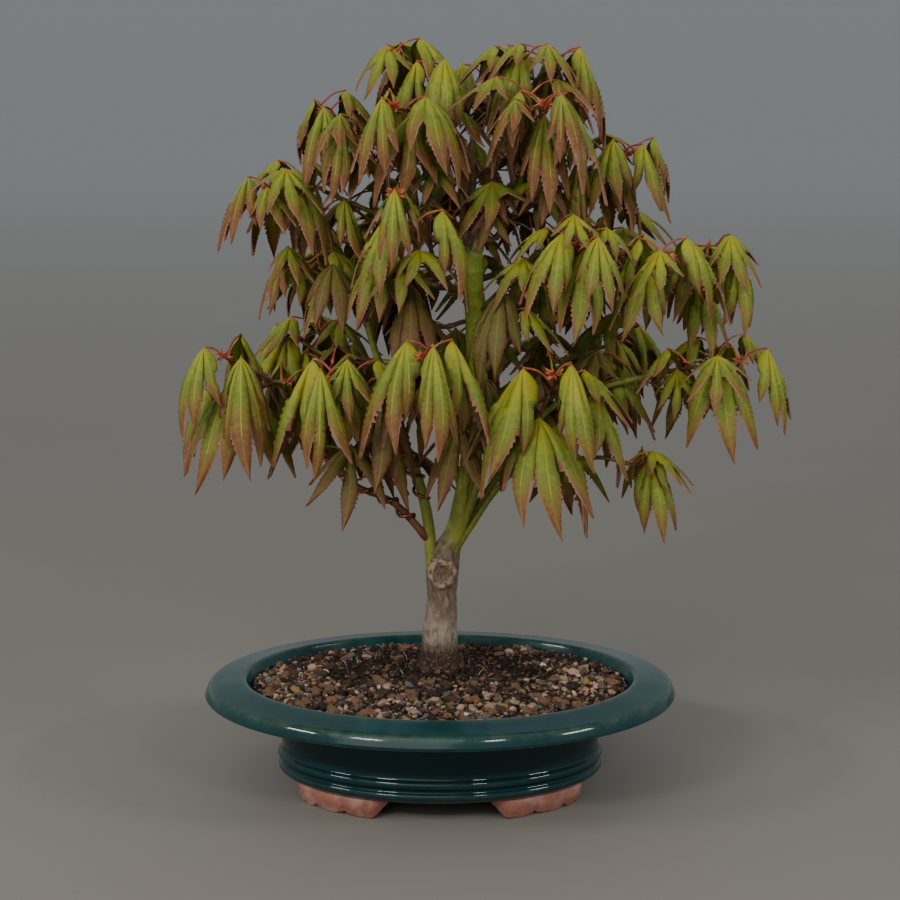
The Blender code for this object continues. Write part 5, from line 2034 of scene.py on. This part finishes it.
            sway = np.sign(wide) * seen + bow[lobe] * late * size
            places.append(
                np.array(leaf.peak) + out * reach[:, None] - np.array(UP) * drop[:, None]
                + side * sway[:, None] + above * lift[:, None]
            )
        return (places[0] + places[1]) / 2

    def tones(self, vigour: float, shaded: bool, pink: bool, chance: np.random.Generator) -> np.ndarray:
        """Deals the leaf's faces their tones.

        Args:
            vigour: How far the leaf has turned from lime, low, to bronze, high.
            shaded: Whether it hangs deep in the crown, and so gets the darker tones of painted shade.
            pink: Whether its lobes end in pink; else they end in russet.
            chance: Where the dealing's unevenness comes from.

        Returns:
            Each face's tone as its number.
        """
        rank, edge, rib, vein, margin = self.facts
        # Random unevenness, plus painted light and shade on the pleats: faces raised by a side vein get lighter
        # tones, pressed ones darker.
        uneven = chance.normal(0, 0.30, len(rank)) - 0.12 * vein
        # Leaves deep in the crown get the darker tones: painted shade.
        if shaded:
            first = Tone.SHADE_GREEN.number
            dark = first + 2.2 * rank + 0.9 * ramp(edge, 0.6, 0.9) + margin + 0.5 * vigour + uneven
            dark = np.clip(dark, first, Tone.SHADE_MAROON.number).astype(int)
            return np.where(rib > 0.5, Tone.SHADE_RIB.number, dark)
        ripe = 1.0 + (7.4 + 0.5 * vigour) * np.clip(rank, 0.0, 1.0) ** min(max(1.30 - 0.32 * vigour, 0.52), 1.9)
        ripe = ripe + (0.4 + 1.0 * rank) * ramp(edge, 0.62, 0.88)
        ripe = ripe if pink else np.minimum(ripe, Tone.RUSSET.number + 0.4 + 0.8 * (rank > 0.88))
        ripe = ripe + margin * (0.6 + 2.8 * ramp(rank, 0.10, 0.45))
        tone = np.clip(ripe + uneven, Tone.LIME.number, Tone.ROSE.number).astype(int)
        return np.where(rib > 0.5, np.where(rank < 0.66, Tone.RIB.number, tone - 2), tone)


@dataclass
class Crown:
    """The whole crown: its twigs, leaf stalks, bud scales and leaves."""

    lines: dict[str, Line]
    grown: dict[str, Growth] = field(default_factory=dict)
    seed: int = 21
    middle: tuple[float, float] = (0.012, 0.255)
    reach: tuple[float, float, float] = (0.13, 0.075, 0.13)
    tiers: tuple = (
        ("leaves_low_front", ("left_inner", "low_front", "low_front_right", "low_left", "drop", "low_right")),
        ("leaves_low_back", ("low_back_right", "low_back", "low_back_left")),
        ("leaves_middle_right", ("right", "mid_right", "mid_right_front", "mid_front", "mid_back_right")),
        ("leaves_middle_left", ("mid_back_left", "mid_left", "centre_front", "centre_left", "left_outer")),
        ("leaves_upper", ("upper_left", "upper_right", "upper_back")),
        ("leaves_top", ("top_front", "top_right_front", "top_left", "top_right", "top_back")),
    )

    def build(self) -> None:
        """Grows the crown and builds it, each kind of part joined apart."""
        rule = Rule(self.lines)
        self.grown = rule.grow()
        self.twigs()
        self.stalks()
        self.buds()
        nets = [Net(rule.blank, reach, seed) for seed, reach in enumerate((0.28, 0.32, 0.36))]
        finishes = [tone.made() for tone in Tone]
        for name, masses in self.tiers:
            tier = [self.grown["foliage_" + mass] for mass in masses]
            shape = Shape()
            chance = np.random.default_rng([self.seed, *name.encode()])
            for growth in tier:
                lean = chance.normal(0, 0.3) + 1.1 * ramp(growth.mass.heart[2], 0.26, 0.34) - 0.1
                for leaf in growth.all_leaves():
                    net = nets[chance.integers(len(nets))]
                    vigour = lean + chance.normal(0.0, 0.7)
                    # Leaves deep in the crown are dealt the darker tones of painted shade.
                    shaded = self.shade(leaf) + chance.normal(0, 0.12) > 0.5
                    pink = chance.random() < 0.4
                    places = net.hung(leaf, chance)
                    shape.add(places, net.faces, net.tones(vigour, shaded, pink, chance))
            shape.stand(name, finishes, "spring_leaf", [growth.mass.name for growth in tier])

    def twigs(self) -> None:
        """Builds the stems, shoots and side twigs."""
        shape, chance = Shape(), random.Random(self.seed)
        for growth in self.grown.values():
            for line in growth.shoots:
                steps = 10 * (len(line[0]) - 1)
                places, radii = refined(line, steps)
                for i, radius in enumerate(radii):
                    radii[i] = radius * (1 - 0.35 * i / steps) * (1.35 if i % 10 == 5 else 1.0)
                shape.tube((places, radii), 9, chance.choice([0, 1, 2]))
            for sprig in growth.sprigs:
                shape.tube(refined(sprig.line, 7), 6, chance.choice([0, 1, 1]))
        shape.stand("twigs", [bark.made() for bark in LIMB_BARKS], "young_bark")

    def stalks(self) -> None:
        """Builds the leaf stalks, each bowed a little upward."""
        shape = Shape()
        for leaf in (leaf for growth in self.grown.values() for leaf in growth.all_leaves()):
            bow = leaf.node.lerp(leaf.peak, 0.5) + UP * (leaf.peak - leaf.node).length * 0.13
            radius = 0.00042 + leaf.length * 0.004
            line = (leaf.node, bow, leaf.peak), (radius * 1.35, radius * 0.85, radius)
            shape.tube(refined(line, 8), 6)
        shape.stand("leaf_stalks", [YoungBark.STALK.made()], "young_bark")

    def buds(self) -> None:
        """Builds the tufts of bud scales where shoots fork and end, and small buds at the leaf nodes."""
        shape, draw = Shape(), random.Random(self.seed + 1).uniform
        for growth in self.grown.values():
            places = [(line[0][-1], 1.0 if i else 2.0) for i, line in enumerate(growth.shoots)]
            places += [(sprig.line[0][-1], 0.5) for sprig in growth.sprigs]
            for place, size in (spot for spot in places for _ in range(round(11 * spot[1]))):
                turn = draw(0, tau)
                ahead = Vector((cos(turn), sin(turn), draw(-0.4, 1.4))).normalized()
                reach = draw(0.0022, 0.0040) * (0.5 + 0.6 * size)
                sag = UP * reach * draw(-0.35, 0.1)
                aside = ahead.orthogonal().normalized() * (reach * draw(0.10, 0.18))
                middle = place + ahead * reach * 0.55
                tip = place + ahead * reach + sag
                corners = [place + ahead * reach * 0.1, middle + aside, tip, middle - aside]
                shape.add(corners, [(0, 1, 2), (0, 2, 3)])
        shape.stand("bud_scales", [YoungBark.BUD.made()], "young_bark")

    def shade(self, leaf: Leaf) -> float:
        """Tells how deep in the crown a leaf hangs.

        Args:
            leaf: The leaf.

        Returns:
            A share from 0 at the outside to 1 at the crown's middle.
        """
        wide, deep, high = self.reach
        x, z = leaf.peak.x - self.middle[0], max(leaf.peak.z - self.middle[1], -0.01)
        return 1.0 - min(sqrt((x / wide) ** 2 + (leaf.peak.y / deep) ** 2 + (z / high) ** 2), 1.0)


# Studio


@dataclass
class Studio:
    """The pale floor, the soft lights and the camera."""

    eye: tuple[float, float, float] = (-0.0161, -1.2, 0.4263)
    pitch: float = 11.36
    lens: float = 93.8
    sky: float = 0.50
    sun: float = 0.84
    floor_reach: float = 200.0
    softboxes: tuple = (
        ("lamp_left", (-1.05, -0.55, 0.68), 0.30, 3.2), ("lamp_front_left", (-0.64, -1.05, 0.78), 0.24, 3.2),
        ("lamp_front_right", (0.42, -1.05, 0.76), 0.14, 1.6), ("lamp_right", (1.00, -0.56, 0.66), 0.30, 3.0),
    )

    def build(self) -> None:
        """Sets up the studio."""
        self.floor()
        sun = bpy.data.lights.new("soft_sun", "SUN")
        sun.energy, sun.angle, sun.color = self.sun, radians(50.0), (1.0, 0.985, 0.955)
        self.aimed(sun, (-0.45, -1.20, 1.25))
        for name, place, width, power in self.softboxes:
            box = bpy.data.lights.new(name, "AREA")
            box.shape, box.size, box.size_y = "RECTANGLE", width, 0.07
            box.energy, box.color = power, (1.0, 0.99, 0.97)
            self.aimed(box, place)
        world = bpy.data.worlds.new("soft_sky")
        bpy.context.scene.world = world
        world.use_nodes = True
        backdrop = world.node_tree.nodes["Background"]
        backdrop.inputs["Color"].default_value = (0.66, 0.70, 0.73, 1.0)
        backdrop.inputs["Strength"].default_value = self.sky
        camera = bpy.data.objects.new("camera", bpy.data.cameras.new("camera"))
        bpy.context.scene.collection.objects.link(camera)
        camera.location = self.eye
        camera.rotation_euler = (radians(90 - self.pitch), 0.0, 0.0)
        camera.data.lens, camera.data.sensor_width, camera.data.clip_end = self.lens, 36.0, 600.0
        bpy.context.scene.camera = camera

    def floor(self) -> None:
        """Lays the floor."""
        shape, far = Shape(), self.floor_reach
        shape.add([(-far, -far, 0), (far, -far, 0), (far, far, 0), (-far, far, 0)], [(0, 1, 2, 3)])
        floor = bpy.data.objects.new("floor", shape.mesh("floor"))
        floor.data.materials.append(PaleFloor().made())
        bpy.context.scene.collection.objects.link(floor)
        floor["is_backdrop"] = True

    @staticmethod
    def aimed(light: bpy.types.Light, place: tuple) -> None:
        """Hangs a light so that it faces the middle of the plant.

        Args:
            light: The light.
            place: Where it hangs.
        """
        made = bpy.data.objects.new(light.name, light)
        bpy.context.scene.collection.objects.link(made)
        made.location = place
        made.rotation_euler = (Vector((0.0, 0.0, 0.18)) - Vector(place)).to_track_quat("-Z", "Y").to_euler()


def write_sizes() -> None:
    """Logs the box of the solids and that of the dressed model."""
    boxes = {"cad": CAD_BOX, "visual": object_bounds()}
    {name: [list(corner) for corner in box] for name, box in boxes.items()}
    for name, (low, high) in boxes.items():
        rounded = ([round(measure * 1000, 1) for measure in corner] for corner in (low, high))
        LOG.info("%s box: %s to %s mm", name, *rounded)


def main() -> None:
    """Builds the pot, its filling and the tree, then the studio."""
    Studio().build()
    pot = Pot()
    pot.build()
    Feet(pot).build()
    GritBed(pot).build()
    skeleton = Skeleton()
    lines = skeleton.lines()
    Trunk(skeleton).build()
    Boughs(lines).build()
    Wires(lines).build()
    Crown(lines).build()
    write_sizes()


if __name__ == "__main__":
    main()
